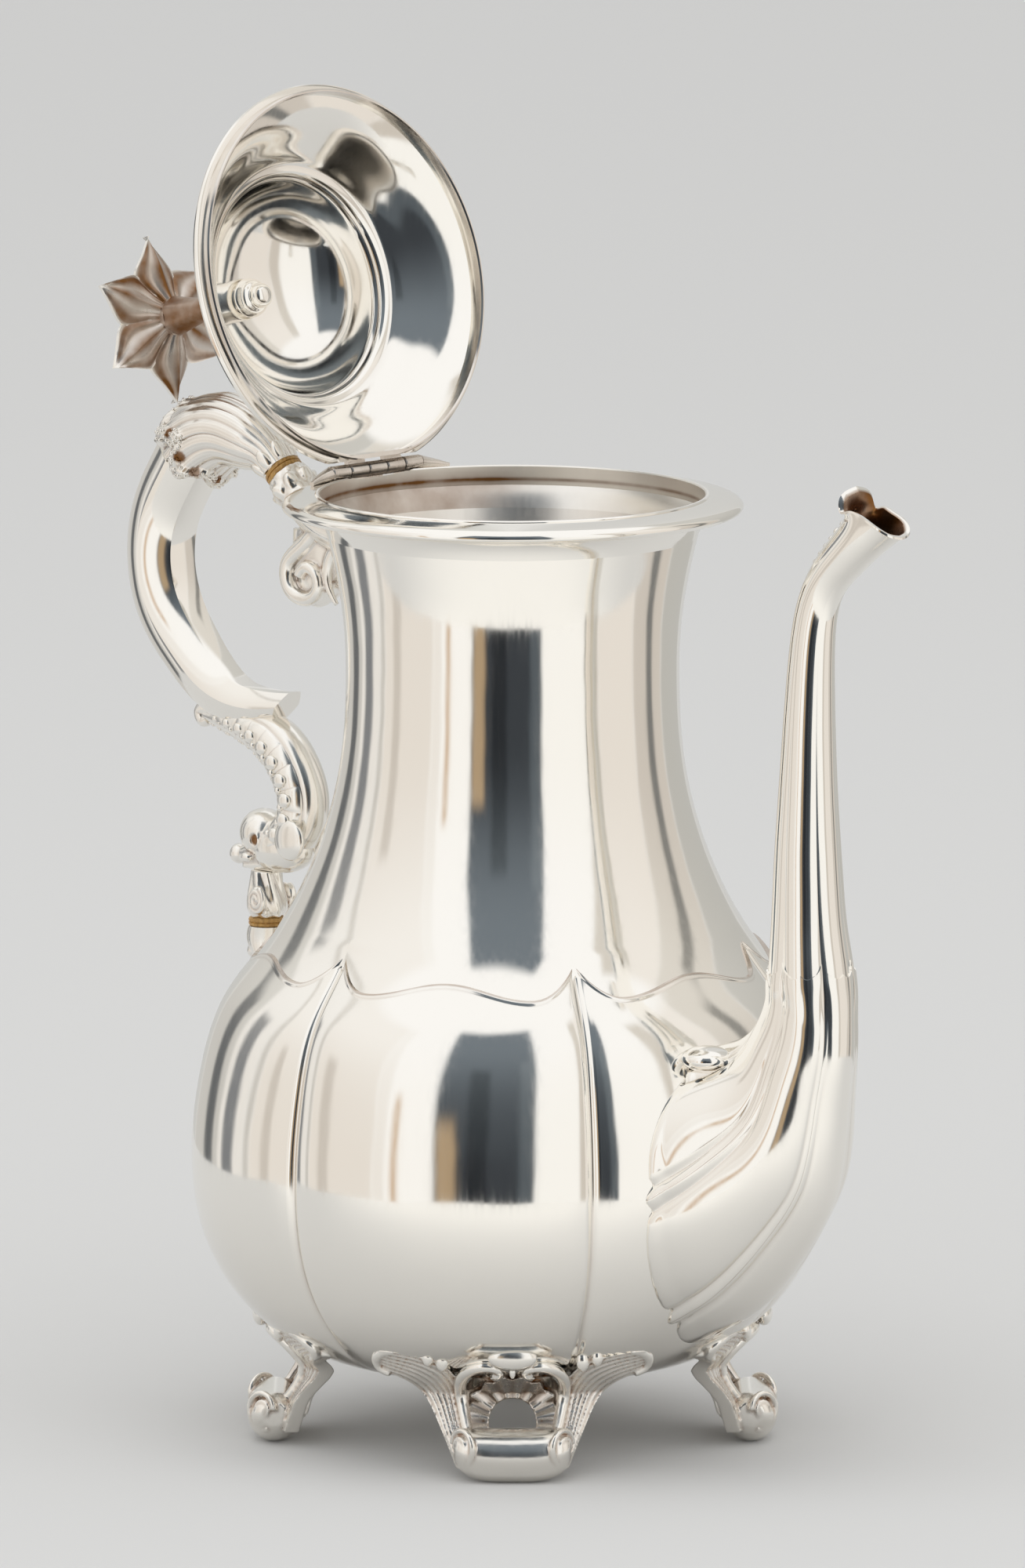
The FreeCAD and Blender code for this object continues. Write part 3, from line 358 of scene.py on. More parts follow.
def add_piece(name, mesh, material, body="pot", sharp=40.0, dark=(0.0, 2),
              extra=0.0):
    """Finished piece: crisp edges, tarnish, material and body, with the node it stands for hidden.

    dark is the tarnish's strength and spread, or None where the mesh already carries it.
    """
    mesh.polygons.foreach_set("use_smooth", [True] * len(mesh.polygons))
    mesh.set_sharp_from_angle(angle=math.radians(sharp))
    if dark is not None:
        tarnish(mesh, dark[0], dark[1], extra)
    mesh.materials.clear()
    mesh.materials.append(material)
    piece = bpy.data.objects.new(name, mesh)
    bpy.context.collection.objects.link(piece)
    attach(piece, body)
    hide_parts(name.removesuffix("_dressed"))


# Nodes and materials

# Roughness of each silver, and the width and height of its unevenness in millimetres.
SILVER_FINISHES = {
    # Raised and polished sheet: a near mirror that bends reflections a little where it is uneven.
    POLISHED: (0.07, 14.0, 0.10),
    # Cast and chased ornament: softer gleam, brown tarnish left in every hollow.
    CHASED: (0.17, 5.0, 0.10),
}
# Size of the clouds in the tarnish, of the wipe lines and of the bone's grain, in millimetres.
CLOUD_MM = 9.0
WIPE_MM = (0.9, 0.9, 14.0)
GRAIN_MM = (0.6, 0.6, 3.0)
GRAIN_DEPTH = 0.1
GRAIN_COLOUR = "#9a6f35"
# Roughness that wipe lines, full tarnish and an unbuffed inside add.
WIPE_DULLS, TARNISH_DULLS, SATIN_DULLS = 0.05, 0.25, 0.2


def linear(colour):
    """Linear RGBA of an sRGB hex colour."""
    parts = [int(colour[i:i + 2], 16) / 255 for i in (1, 3, 5)]
    return tuple(c / 12.92 if c <= 0.04045 else ((c + 0.055) / 1.055) ** 2.4 for c in parts) + (1.0,)


def add(tree, kind, values=None, links=None, **settings):
    """Adds a node with its settings, socket values and incoming links."""
    node = tree.nodes.new(kind)
    for key, value in settings.items():
        setattr(node, key, value)
    for key, value in (values or {}).items():
        node.inputs[key].default_value = value
    for key, source in (links or {}).items():
        tree.links.new(source, node.inputs[key])
    return node


def new_material(name):
    """Empty node material with its output, ready for a shader."""
    material = bpy.data.materials.new(name)
    material.use_nodes = True
    tree = material.node_tree
    tree.nodes.clear()
    return material, tree, add(tree, "ShaderNodeOutputMaterial")


def per_mm(size):
    """Texture scale that gives features of a size in millimetres on Object coordinates."""
    return 1.0 / (size * MM)


def silver(name, polish, wave_mm, wave_height):
    """Sterling silver: bright, faintly warm, with wipe lines and brown tarnish in its hollows."""
    material, tree, output = new_material(name)
    sizes = bpy.context.scene.coffee_pot
    place = add(tree, "ShaderNodeTexCoord").outputs["Object"]
    # The tarnish attribute holds tarnish in hollows, and on the waist seam, the feet's arches and the
    # petals painted shade as well.
    dark = add(tree, "ShaderNodeAttribute", attribute_name="tarnish").outputs["Fac"]
    cloud = add(tree, "ShaderNodeTexNoise", {"Scale": per_mm(CLOUD_MM), "Detail": 4.0},
                {"Vector": place}).outputs["Fac"]
    patchy = add(tree, "ShaderNodeMapRange",
                 {"From Min": 0.3, "From Max": 0.7, "To Min": 0.6, "To Max": 1.25},
                 {"Value": cloud}).outputs["Result"]
    amount = add(tree, "ShaderNodeMath", None, {0: dark, 1: patchy}, operation="MULTIPLY",
                 use_clamp=True).outputs[0]
    tone = add(tree, "ShaderNodeMix", {"A": sizes.silver_colour, "B": sizes.tarnish_colour},
               {"Factor": amount}, data_type="RGBA").outputs["Result"]
    wipe = add(tree, "ShaderNodeMapping", {"Scale": [per_mm(size) for size in WIPE_MM]}, {"Vector": place})
    lines = add(tree, "ShaderNodeTexNoise", {"Scale": 1.0, "Detail": 2.0},
                {"Vector": wipe.outputs[0]}).outputs["Fac"]
    gloss = add(tree, "ShaderNodeMapRange",
                {"From Min": 0.35, "From Max": 0.75, "To Min": polish, "To Max": polish + WIPE_DULLS},
                {"Value": lines}).outputs["Result"]
    unbuffed = add(tree, "ShaderNodeAttribute", attribute_name="satin").outputs["Fac"]
    for share, dulls in ((amount, TARNISH_DULLS), (unbuffed, SATIN_DULLS)):
        gloss = add(tree, "ShaderNodeMath", {1: dulls}, {0: share, 2: gloss},
                    operation="MULTIPLY_ADD").outputs[0]
    marks = add(tree, "ShaderNodeTexNoise", {"Scale": per_mm(wave_mm), "Detail": 1.0},
                {"Vector": place}).outputs["Fac"]
    bump = add(tree, "ShaderNodeBump", {"Strength": 1.0, "Distance": wave_height * MM},
               {"Height": marks}).outputs[0]
    shader = add(tree, "ShaderNodeBsdfPrincipled", {"Metallic": 1.0},
                 {"Base Color": tone, "Roughness": gloss, "Normal": bump})
    tree.links.new(shader.outputs[0], output.inputs[0])
    return material


def bone(name):
    """Old bone: yellow-brown and satin, with fine dark grain lines along the piece."""
    material, tree, output = new_material(name)
    place = add(tree, "ShaderNodeTexCoord").outputs["Object"]
    grain = add(tree, "ShaderNodeMapping", {"Scale": [per_mm(size) for size in GRAIN_MM]},
                {"Vector": place})
    lines = add(tree, "ShaderNodeTexNoise", {"Scale": 1.0, "Detail": 3.0},
                {"Vector": grain.outputs[0]}).outputs["Fac"]
    share = add(tree, "ShaderNodeMapRange", {"From Min": 0.35, "From Max": 0.7},
                {"Value": lines}).outputs["Result"]
    tone = add(tree, "ShaderNodeMix",
               {"A": bpy.context.scene.coffee_pot.bone_colour, "B": linear(GRAIN_COLOUR)},
               {"Factor": share}, data_type="RGBA").outputs["Result"]
    bump = add(tree, "ShaderNodeBump", {"Strength": 0.4, "Distance": GRAIN_DEPTH * MM},
               {"Height": lines}).outputs[0]
    shader = add(tree, "ShaderNodeBsdfPrincipled", {"Roughness": 0.38, "IOR": 1.54},
                 {"Base Color": tone, "Normal": bump})
    tree.links.new(shader.outputs[0], output.inputs[0])
    return material


def material_for(kind):
    """One of the pot's finishes, made the first time it is asked for."""
    if kind in bpy.data.materials:
        return bpy.data.materials[kind]
    return silver(kind, *SILVER_FINISHES[kind]) if kind in SILVER_FINISHES else bone(kind)


# Body

OUTLINE_CURVE = spline(BODY_OUTLINE, 1200)
# How far above the waist line the lobes have run out.
LOBES_END = 5.5
# Waist line: how far it dips beside a cusp, where on the lobe that lies, and how far the cusp rises.
WAIST_DIP, WAIST_SHOULDER, WAIST_CUSP = 3.0, 0.65, 6.4
# Rows drawn together under the upper edge of the body.
EDGE_ROWS = 8
# How far the upper part of a joint reaches down behind the lower one's edge.
LAP = 2.0


def outline_radius(z):
    """Radius of the body on the crown of a lobe, at a height."""
    return np.interp(z, OUTLINE_CURVE[:, 1], OUTLINE_CURVE[:, 0])


def crease(turn):
    """0 on the crown of a lobe and 1 in the crease between two."""
    return (1 - np.abs(np.cos(LOBES * turn / 2))) ** 1.3


def body_radius(z, turn):
    """Outside of the lobed body at a height and an angle."""
    share = np.clip((z - BASE_Z) / (WAIST_Z + LOBES_END - BASE_Z), 0.0, 1.0)
    depth = bpy.context.scene.coffee_pot.groove_depth / MM
    return outline_radius(z) - depth * np.sin(math.pi * share) ** 0.8 * crease(turn)


def wall_at(points):
    """Radius of the body's outside at the height and angle of points."""
    return body_radius(points[..., 2], np.arctan2(points[..., 1], points[..., 0]))


def off_crease(turn):
    """Angle from the nearest crease."""
    span = 2 * math.pi / LOBES
    return np.minimum((turn - span / 2) % span, (span / 2 - turn) % span)


def off_crown(turn):
    """0 on the crown of a lobe, rising evenly to 1 at its creases."""
    span = math.pi / LOBES
    return np.abs((turn + span) % (2 * span) - span) / span


def lobe_turns():
    """Column angles from one crease round to it again, drawn together towards every crease."""
    share = np.sin(np.linspace(-math.pi / 2, math.pi / 2, LOBE_COLUMNS, endpoint=False))
    span = math.pi / LOBES
    return np.concatenate([2 * span * k + span * share for k in range(LOBES)])


def chased_crease(grid, turn):
    """Chasing tool's line along every crease of the belly, fading out towards the feet."""
    reach = reach_of(grid)
    off = reach * off_crease(turn)
    depth = 0.6 * smooth_step(1.3, 0.1, off) + 0.35 * np.exp(-(off / 3.0) ** 2)
    depth = depth * smooth_step(BASE_Z + 2, BASE_Z + 12, grid[..., 2])
    grid[..., :2] *= (1 - depth / reach)[..., None]


def waist_height(turn):
    """Brace-shaped waist line: a cusp at each crease and a low crest on each lobe."""
    share = off_crown(turn)
    crest = WAIST_Z - WAIST_DIP * (1 - np.cos(math.pi * share / WAIST_SHOULDER)) / 2
    up = np.clip((share - WAIST_SHOULDER) / (1 - WAIST_SHOULDER), 0, 1)
    return np.where(share < WAIST_SHOULDER, crest, WAIST_Z - WAIST_DIP + WAIST_CUSP * up ** 2)


def body_grid(low, high, rows, inset=0.0):
    """Rows round the body between two heights, each a number or one for each column."""
    turn = lobe_turns()
    low, high = np.broadcast_to(low, COLUMNS), np.broadcast_to(high, COLUMNS)
    share = np.append(np.linspace(0, 0.985, rows - EDGE_ROWS), np.linspace(0.987, 1, EDGE_ROWS))
    z = low + (high - low) * share[:, None]
    r = body_radius(z, turn) - inset
    return np.stack([r * np.cos(turn), r * np.sin(turn), z], axis=-1)


def inside_rows(outer, inner):
    """1 on the rows of a shell's inside and 0 on the others."""
    return np.concatenate([np.zeros(len(outer)), np.ones(len(inner)), [0.0]])[:, None]


def pole(grid, z):
    """A row drawn together to a point on the axis."""
    row = np.zeros_like(grid[:1])
    row[..., 2] = z
    return row


class POT_OT_body(bpy.types.Operator):
    """Builds the lobed belly with its brace-shaped waist, and the smooth neck above it"""
    bl_idname = "coffee_pot.body"
    bl_label = "Body"

    def execute(self, context):
        wall = context.scene.coffee_pot.wall / MM
        turn = lobe_turns()
        waist = waist_height(turn)
        outer = body_grid(BASE_Z, waist, 150)
        chased_crease(outer, turn)
        edge = smooth_step(1.0, 0.4, waist - outer[..., 2]) * 0.2
        outer[..., :2] += (edge / reach_of(outer))[..., None] * outer[..., :2]
        inner = body_grid(BASE_Z + wall, waist, 40, wall)
        belly = np.concatenate([pole(outer, BASE_Z), outer, inner[::-1], pole(outer, BASE_Z + wall)])
        # Thin dark line under the belly's upper edge: tarnish in the seam, and painted shade that marks the
        # step.
        seam_shade_and_tarnish = 0.45 * smooth_step(0.4, 0.12, waist - belly[..., 2])
        sheet = material_for(POLISHED)
        add_piece("lower_body_dressed", mesh_of("lower_body", [belly], [seam_shade_and_tarnish]), sheet, dark=(0.5, 2))
        outer = body_grid(waist - LAP, TOP_Z, 130, NECK_INSET)
        inner = body_grid(waist - LAP, TOP_Z, 40, NECK_INSET + wall)
        neck = shell(outer, inner)
        within = inside_rows(outer, inner)
        add_piece("upper_body_dressed", mesh_of("upper_body", [neck], [0.08 * within], [within]), sheet)
        return {"FINISHED"}


# Mouth and hinge

RIM_COLUMNS = 480
# Radius of the trough that the hinge turns in, and of the knuckles.
NOTCH_R, KNUCKLE_R = 1.9, 1.6
KNUCKLES = 5
KNUCKLE_COLUMNS = 28
# Moulding of the rim: share of its width, and height over its lower edge.
RIM_SHARES = ((0.0, 0.0), (0.55, 0.15), (0.86, 0.4), (0.96, 0.85), (1.0, 1.5), (0.965, 2.1), (0.86, 2.75),
              (0.6, 3.3), (0.25, 3.7), (0.0, 3.85))


class POT_OT_mouth(bpy.types.Operator):
    """Builds the upright band of the mouth, notched for the hinge, and the moulding round it"""
    bl_idname = "coffee_pot.mouth"
    bl_label = "Mouth and rim"

    def execute(self, context):
        sheet = material_for(POLISHED)
        wall = context.scene.coffee_pot.wall / MM
        low_r = outline_radius(TOP_Z) - NECK_INSET
        flare = ((low_r, TOP_Z), (low_r + 0.7, TOP_Z + 1.8), (MOUTH_R - 0.5, TOP_Z + 3.9),
                 (MOUTH_R, TOP_Z + 4.5))
        outside = spline(flare, 12).tolist()
        inside = [(r - wall, z) for r, z in outside]
        inside += [(MOUTH_R - wall, RIM_Z - drop) for drop in (3.7, 3.4, 3.1, 2.8, 2.5, 2.2, 0.25)]
        inside.append((MOUTH_R - wall + 0.25, RIM_Z))
        outside += [(MOUTH_R, RIM_Z - 0.25), (MOUTH_R - 0.25, RIM_Z)]
        band = lathe(outside + inside[::-1] + outside[:1], RIM_COLUMNS)
        self.notch(band)
        within = inside_rows(outside, inside)
        behind = smooth_step(-18, -38, band[..., 0]) * smooth_step(RIM_Z - 0.5, RIM_Z - 3, band[..., 2])
        line = np.exp(-((band[..., 2] - RIM_Z + 3.0) / 0.35) ** 2)
        browned = within * (0.04 + 0.5 * behind + 0.7 * line)
        add_piece("mouth_band_dressed", mesh_of("mouth_band", [band], [browned], [within]), sheet, sharp=30)
        low, high = node_box("rim_moulding")
        outline = spline([(share_between(MOUTH_R, high[1], out), low[2] + up) for out, up in RIM_SHARES],
                         60)
        moulding = lathe(np.concatenate([outline, [(MOUTH_R, low[2])]]), RIM_COLUMNS)
        self.notch(moulding)
        add_piece("rim_moulding_dressed", mesh_of("rim_moulding", [moulding]), sheet, dark=(0.5, 1))
        return {"FINISHED"}

    def notch(self, grid):
        """Trough along the hinge, cut into the edge of the mouth."""
        half = node_box("hinge_pin")[1][1]
        gap = np.abs(grid[..., 0] - HINGE[0])
        floor = HINGE[2] - np.sqrt(np.clip(NOTCH_R ** 2 - gap ** 2, 0.0, None))
        cut = (gap < NOTCH_R) & (np.abs(grid[..., 1]) < half) & (grid[..., 0] < 0)
        grid[..., 2] = np.where(cut, np.minimum(grid[..., 2], floor), grid[..., 2])


class POT_OT_hinge(bpy.types.Operator):
    """Builds the knuckles of the hinge: the fixed ones with their tapered ends, and the lid's"""
    bl_idname = "coffee_pot.hinge"
    bl_label = "Hinge"

    def execute(self, context):
        cast = material_for(CHASED)
        x, z = HINGE[0], HINGE[2]
        half = node_box("hinge_pin")[1][1]
        length = 2 * half / KNUCKLES
        names = ["lid_knuckles" if index % 2 else "body_knuckles" for index in range(KNUCKLES)]
        sets = {"body_knuckles": [], "lid_knuckles": []}
        turn = around(KNUCKLE_COLUMNS)
        size = np.array((KNUCKLE_R - 0.2, KNUCKLE_R, KNUCKLE_R, KNUCKLE_R - 0.2))
        for index, name in enumerate(names):
            along = np.array((0, 0.25, length - 0.45, length - 0.2)) - half + index * length + 0.1
            knuckle = np.stack([x + np.outer(size, np.cos(turn)),
                                np.repeat(along[:, None], KNUCKLE_COLUMNS, axis=1),
                                z + np.outer(size, np.sin(turn))], axis=-1)
            sets[name].append(capped(knuckle))
        for side in (-1, 1):
            taper = spline(((x, side * (half + 0.1), z - 0.1), (x + 0.5, side * (half + 3.0), z - 0.5),
                            (x + 1.8, side * (half + 7.0), z - 1.2)), 16)
            sets["body_knuckles"].append(tube(taper, np.linspace(1.5, 0.5, 16), 16))
        low = RIM_Z - 1.4
        tabs = {
            "body_knuckles": ((x - 4.8, low - 0.4), (x - 4.8, low + 0.3), (x - 3.6, low + 1.6), (x, z),
                              (x, low)),
            "lid_knuckles": ((x, LID_Z), (CHORD_X + 0.4, LID_Z + 0.25), (CHORD_X + 0.4, LID_Z + 1.35),
                             (x, LID_Z + 1.6)),
        }
        for index, name in enumerate(names):
            tab = np.array(tabs[name])
            ends = np.array((0.2, length - 0.2)) - half + index * length
            sets[name].append(capped(np.stack([np.insert(tab, 1, end, axis=1) for end in ends])))
        sets["lid_knuckles"] = [opened(grid) for grid in sets["lid_knuckles"]]
        for name, grids in sets.items():
            body = "lid" if name == "lid_knuckles" else "pot"
            add_piece(name + "_dressed", mesh_of(name, grids), cast, body, sharp=35, extra=0.3)
        return {"FINISHED"}


# Spout

FAN_HALF = 23.5
JOINT_X = 87.3
JOINT_R = 9.0
SPOUT_R = 4.4
SPOUT_WALL = 0.9
LIP = np.array((106.7, 206.5))
# Number of the section that lies at the joint.
JOINT_SECTION = 6
# Scalloped joint: where on a lobe the scallop ends, its depth, and how far the cusp rises.
SCALLOP_END, SCALLOP_DEPTH, SCALLOP_CUSP = 0.6, 0.7, 2.4
FAN_ROWS, NECK_ROWS = 150, 170


def leaning(degrees):
    """Unit vector in the XZ plane, tipped down from +X."""
    lean = math.radians(degrees)
    return np.array((math.cos(lean), -math.sin(lean)))


def spout_sections():
    """Rear and front point in the XZ plane, half width and flute depth, from the belly to the lip."""
    body_x = outline_radius(61.6)
    drop = JOINT_Z - BASE_Z
    rear, front = JOINT_X - JOINT_R, JOINT_X + JOINT_R
    sections = [
        ((body_x - 14, JOINT_Z - 0.235 * drop), (body_x - 18, BASE_Z + 0.10 * drop), FAN_HALF * 1.06, 0.07),
        ((body_x - 6, JOINT_Z - 0.20 * drop), (body_x + 1.6, BASE_Z + 0.20 * drop), FAN_HALF * 0.96, 0.09),
        ((body_x, JOINT_Z - 0.18 * drop), (share_between(body_x, front, 0.61), BASE_Z + 0.37 * drop),
         share_between(FAN_HALF, JOINT_R, 0.44), 0.12),
        ((share_between(body_x, rear, 0.35), JOINT_Z - 0.155 * drop),
         (share_between(body_x, front, 0.88), BASE_Z + 0.51 * drop), share_between(FAN_HALF, JOINT_R, 0.68),
         0.12),
        ((share_between(body_x, rear, 0.62), JOINT_Z - 0.12 * drop), (front - 0.3, BASE_Z + 0.70 * drop),
         share_between(FAN_HALF, JOINT_R, 0.85), 0.11),
        ((share_between(body_x, rear, 0.87), JOINT_Z - 0.07 * drop), (front + 1.2, BASE_Z + 0.84 * drop),
         share_between(FAN_HALF, JOINT_R, 0.95), 0.10),
        ((rear, JOINT_Z), (front, JOINT_Z), JOINT_R, 0.09),
    ]
    rise = LIP[1] - JOINT_Z
    stops = ((0.095, -0.03, 0.78, 0), (0.23, -0.05, 0.60, 0), (0.39, -0.05, 0.39, 0),
             (0.65, -0.01, 0.12, 6), (0.81, 0.13, 0.0, 20))
    for up, along, size, lean in stops:
        centre = np.array((share_between(JOINT_X, LIP[0], along), JOINT_Z + rise * up))
        radius = share_between(SPOUT_R, JOINT_R, size)
        across = leaning(lean) * radius
        sections.append((centre - across, centre + across, radius, 0.02 + 0.07 * size))
    start = np.array((share_between(JOINT_X, LIP[0], 0.13), JOINT_Z + rise * 0.81))
    for share, lean, swell in ((0.42, 44, 1.1), (0.78, 42, 1.3)):
        centre = start + (LIP - start) * share + np.array((-1, 1)) * 1.2 * (1 - share)
        across = leaning(lean) * SPOUT_R * swell
        sections.append((centre - across, centre + across, share_between(SPOUT_R, 5.1, share), 0.015))
    return sections


def lip_ring(turn):
    """Edge of the lip: a hooded arch at the back, pinched sides and a pouring beak in front."""
    stops = np.radians((0, 25, 55, 95, 118, 140, 156, 180))
    half = ((112.8, 0.0, 202.7), (112.2, 2.6, 203.3), (109.8, 4.5, 205.0), (105.4, 4.7, 207.0),
            (102.8, 4.9, 207.5), (100.4, 5.0, 207.4), (99.9, 4.5, 209.8), (100.2, 0.0, 211.7))
    back = np.abs((turn + math.pi) % (2 * math.pi) - math.pi)
    ring = spline_at(half, stops, back)
    ring[:, 1] *= np.where(np.sin(turn) < 0, -1, 1)
    return ring


def spout_grid(rows):
    """Dense rings of the whole spout, and the row at which the joint lies."""
    turn = lobe_turns()
    off = np.degrees(off_crease(turn))
    rib = np.exp(-(off / 3.0) ** 2) - 0.5 * np.exp(-((off - 5.6) / 1.6) ** 2)
    rings = []
    for rear, front, half, flute in spout_sections():
        rear, front = np.array((rear[0], 0, rear[1])), np.array((front[0], 0, front[1]))
        fade = np.clip((half - JOINT_R) / (FAN_HALF - JOINT_R), 0.0, 1.0) ** 0.6
        swell = (1 - 0.8 * flute * crease(turn) + 0.55 * flute * fade * rib)[:, None]
        oval = (front - rear) / 2 * np.cos(turn)[:, None] + SIDE * half * np.sin(turn)[:, None]
        rings.append((rear + front) / 2 + swell * oval)
    rings.append(lip_ring(turn))
    rings = np.array(rings)
    flat = rings.reshape(len(rings), -1)
    chord = np.concatenate([[0.0], np.cumsum(np.sqrt(np.linalg.norm(np.diff(flat, axis=0), axis=1)))])
    grid = spline_at(flat, chord, np.linspace(0, chord[-1], rows)).reshape(rows, COLUMNS, 3)
    return grid, chord[JOINT_SECTION] / chord[-1] * (rows - 1)


def regrid(grid, low, high, rows):
    """Columns of a grid read again between two row numbers, each one for every column."""
    share = np.linspace(0, 1, rows)[:, None]
    place = np.clip(low + (high - low) * share, 0, len(grid) - 1.001)
    below = np.floor(place).astype(int)
    column = np.arange(grid.shape[1])
    part = (place - below)[..., None]
    return grid[below, column] * (1 - part) + grid[below + 1, column] * part


def swollen(rings, amount):
    """Rings moved away from their own middles by an amount."""
    out = rings - rings.mean(axis=1, keepdims=True)
    return rings + amount * out / np.maximum(np.linalg.norm(out, axis=-1, keepdims=True), 1e-6)


class POT_OT_spout(bpy.types.Operator):
    """Builds the fluted fan of the lower spout, the swan neck with its lip, and the beaded crest"""
    bl_idname = "coffee_pot.spout"
    bl_label = "Spout"

    def execute(self, context):
        sheet, cast = material_for(POLISHED), material_for(CHASED)
        turn = lobe_turns()
        grid, joint = spout_grid(900)
        inside = reach_of(grid) < wall_at(grid) - 0.3
        inside[int(joint):] = False
        leave = np.where(inside.any(axis=0), len(grid) - 1 - np.argmax(inside[::-1], axis=0), 0)
        share = off_crown(turn)
        per_row = np.linalg.norm(grid[int(joint) + 1] - grid[int(joint)], axis=-1)
        cusp = SCALLOP_CUSP * np.clip((share - SCALLOP_END) / (1 - SCALLOP_END), 0, 1) ** 2
        scallop = SCALLOP_DEPTH * np.sin(math.pi * np.clip(share / SCALLOP_END, 0, 1))
        wave = (cusp - scallop) / per_row
        fan = regrid(grid, leave, joint + wave, FAN_ROWS)
        rows = np.linspace(0, 1, FAN_ROWS)[:, None]
        fan = swollen(fan, 0.4 * smooth_step(0.86, 0.97, rows)[..., None])
        reach = reach_of(fan)
        # The fan's end follows the belly, just inside its wall.
        buried = fan[:1].copy()
        fan[..., :2] *= (1 + 0.8 * smooth_step(0.07, 0.0, rows) / reach)[..., None]
        buried[..., :2] *= (1 - 0.5 / reach[:1])[..., None]
        heart = buried.mean(axis=1, keepdims=True)
        seat = heart + (buried - heart) * np.linspace(0.05, 0.95, 14)[:, None, None]
        seat[..., :2] *= ((wall_at(seat) - 0.8) / reach_of(seat))[..., None]
        fan = np.concatenate([seat, buried, fan])
        fan = capped(np.concatenate([fan, swollen(fan[-1:], -SPOUT_WALL)]))
        ears = [ball((65.4, 8.4 * side, 89.6), (5.4, 5.4, 2.7), 36) for side in (-1, 1)]
        add_piece("spout_lower_dressed", mesh_of("spout_lower", [fan] + ears), sheet, dark=(0.5, 2))
        neck = regrid(grid, joint + wave - LAP / per_row, len(grid) - 1.0, NECK_ROWS)
        edge = ((0.35, -0.2), (0.3, 0.25), (-0.35, 0.3))
        roll = np.concatenate([swollen(neck[-1:], out) + (0, 0, up) for out, up in edge])
        bore = swollen(neck, -SPOUT_WALL)
        swan = capped(np.concatenate([neck[:-1], roll, bore[::-1]]))
        browned = np.zeros(len(swan))
        browned[-len(bore) - 1:-1] = 0.85 * smooth_step(60, 0, np.arange(len(bore)))
        add_piece("spout_upper_dressed", mesh_of("spout_upper", [swan], [browned[:, None]]), sheet)
        rear = neck[:-1, int(np.argmin(np.abs(turn - math.pi)))]
        rear = spline(rear[(rear[:, 2] > 194.5) & (rear[:, 2] < 208.5)][::6], 43)
        strip = mesh_of("spout_crest", [tube(rear, 0.4, 14)])
        add_piece("spout_crest_dressed", joined(strip, grains(rear[::6], 1.0, cast, 0.85)), cast)
        return {"FINISHED"}


# Lid

LID_COLUMNS = 240
LID_WALL = 0.9
# Height of the flange and of the dome over the lid's seat.
FLANGE, LID_TOP = 1.6, 30.4


def lid_profile():
    """Outside of the lid from its edge over the step to the centre: radius and height above its seat."""
    slope = spline(((MOUTH_R - 0.9, FLANGE), (38.0, 2.8), (34.3, 5.3), (30.7, 8.6), (27.6, 11.5),
                    (25.7, 13.1), (25.0, 13.3)), 40)
    step = spline(((25.0, 13.3), (24.5, 13.7), (24.2, 14.4), (23.6, 14.9)), 8)
    crown = spline(((23.6, 14.9), (22.4, 18.6), (20.2, 22.3), (16.4, 25.8), (11.8, 28.3), (6.6, 29.9),
                    (1.5, LID_TOP)), 50)
    return np.concatenate([slope, step[1:], crown[1:]])


def inset_profile(profile, depth):
    """Profile moved square to itself towards the inside of the lid."""
    way = tangents(profile)
    return profile + depth * np.stack([-way[:, 1], way[:, 0]], axis=1)


def lid_lathe(profile, chord):
    """Profile turned and cut off straight along the hinge, seated on the mouth and swung open."""
    grid = lathe(profile, LID_COLUMNS)
    grid[..., 0] = np.maximum(grid[..., 0], np.broadcast_to(chord, grid.shape[:2]))
    return opened(grid + (0, 0, LID_Z))


class POT_OT_lid(bpy.types.Operator):
    """Builds the stepped dome of the lid, its edge and the bezel that drops into the mouth"""
    bl_idname = "coffee_pot.lid"
    bl_label = "Lid"

    def execute(self, context):
        sheet = material_for(POLISHED)
        outer = lid_profile()
        inner = inset_profile(outer, LID_WALL)
        inner[0, 1], inner[-1, 0] = FLANGE, 1.5
        profile = np.concatenate([outer, inner[::-1], outer[:1]])
        chord = CHORD_X + 0.1 + 0.8 * inside_rows(outer, inner)
        dome = mesh_of("lid_dome", [lid_lathe(profile, chord)])
        add_piece("lid_dome_dressed", dome, sheet, "lid", dark=(0.6, 1))
        inside = MOUTH_R - 2.6
        edge = node_box("lid_flange")[1][1]
        ring = [(inside, 0.0), (edge - 0.8, 0.0), (edge - 0.2, 0.25), (edge, 0.8), (edge - 0.2, 1.35),
                (edge - 0.8, FLANGE), (inside, FLANGE), (inside, 0.0)]
        flange = lid_lathe(ring, CHORD_X)
        add_piece("lid_flange_dressed", mesh_of("lid_flange", [flange]), sheet, "lid", sharp=30)
        outside = MOUTH_R - 1.7
        inside = outside - LID_WALL
        low = -2.0
        band = [(outside, 0.0), (outside, low + 0.3), (outside - 0.3, low), (inside + 0.3, low),
                (inside, low + 0.3), (inside, 0.0), (outside, 0.0)]
        bezel = lid_lathe(band, CHORD_X + LID_WALL * inside_rows(band[:3], band[3:6]))
        add_piece("lid_bezel_dressed", mesh_of("lid_bezel", [bezel]), sheet, "lid", sharp=30, extra=0.25)
        return {"FINISHED"}


# Handle

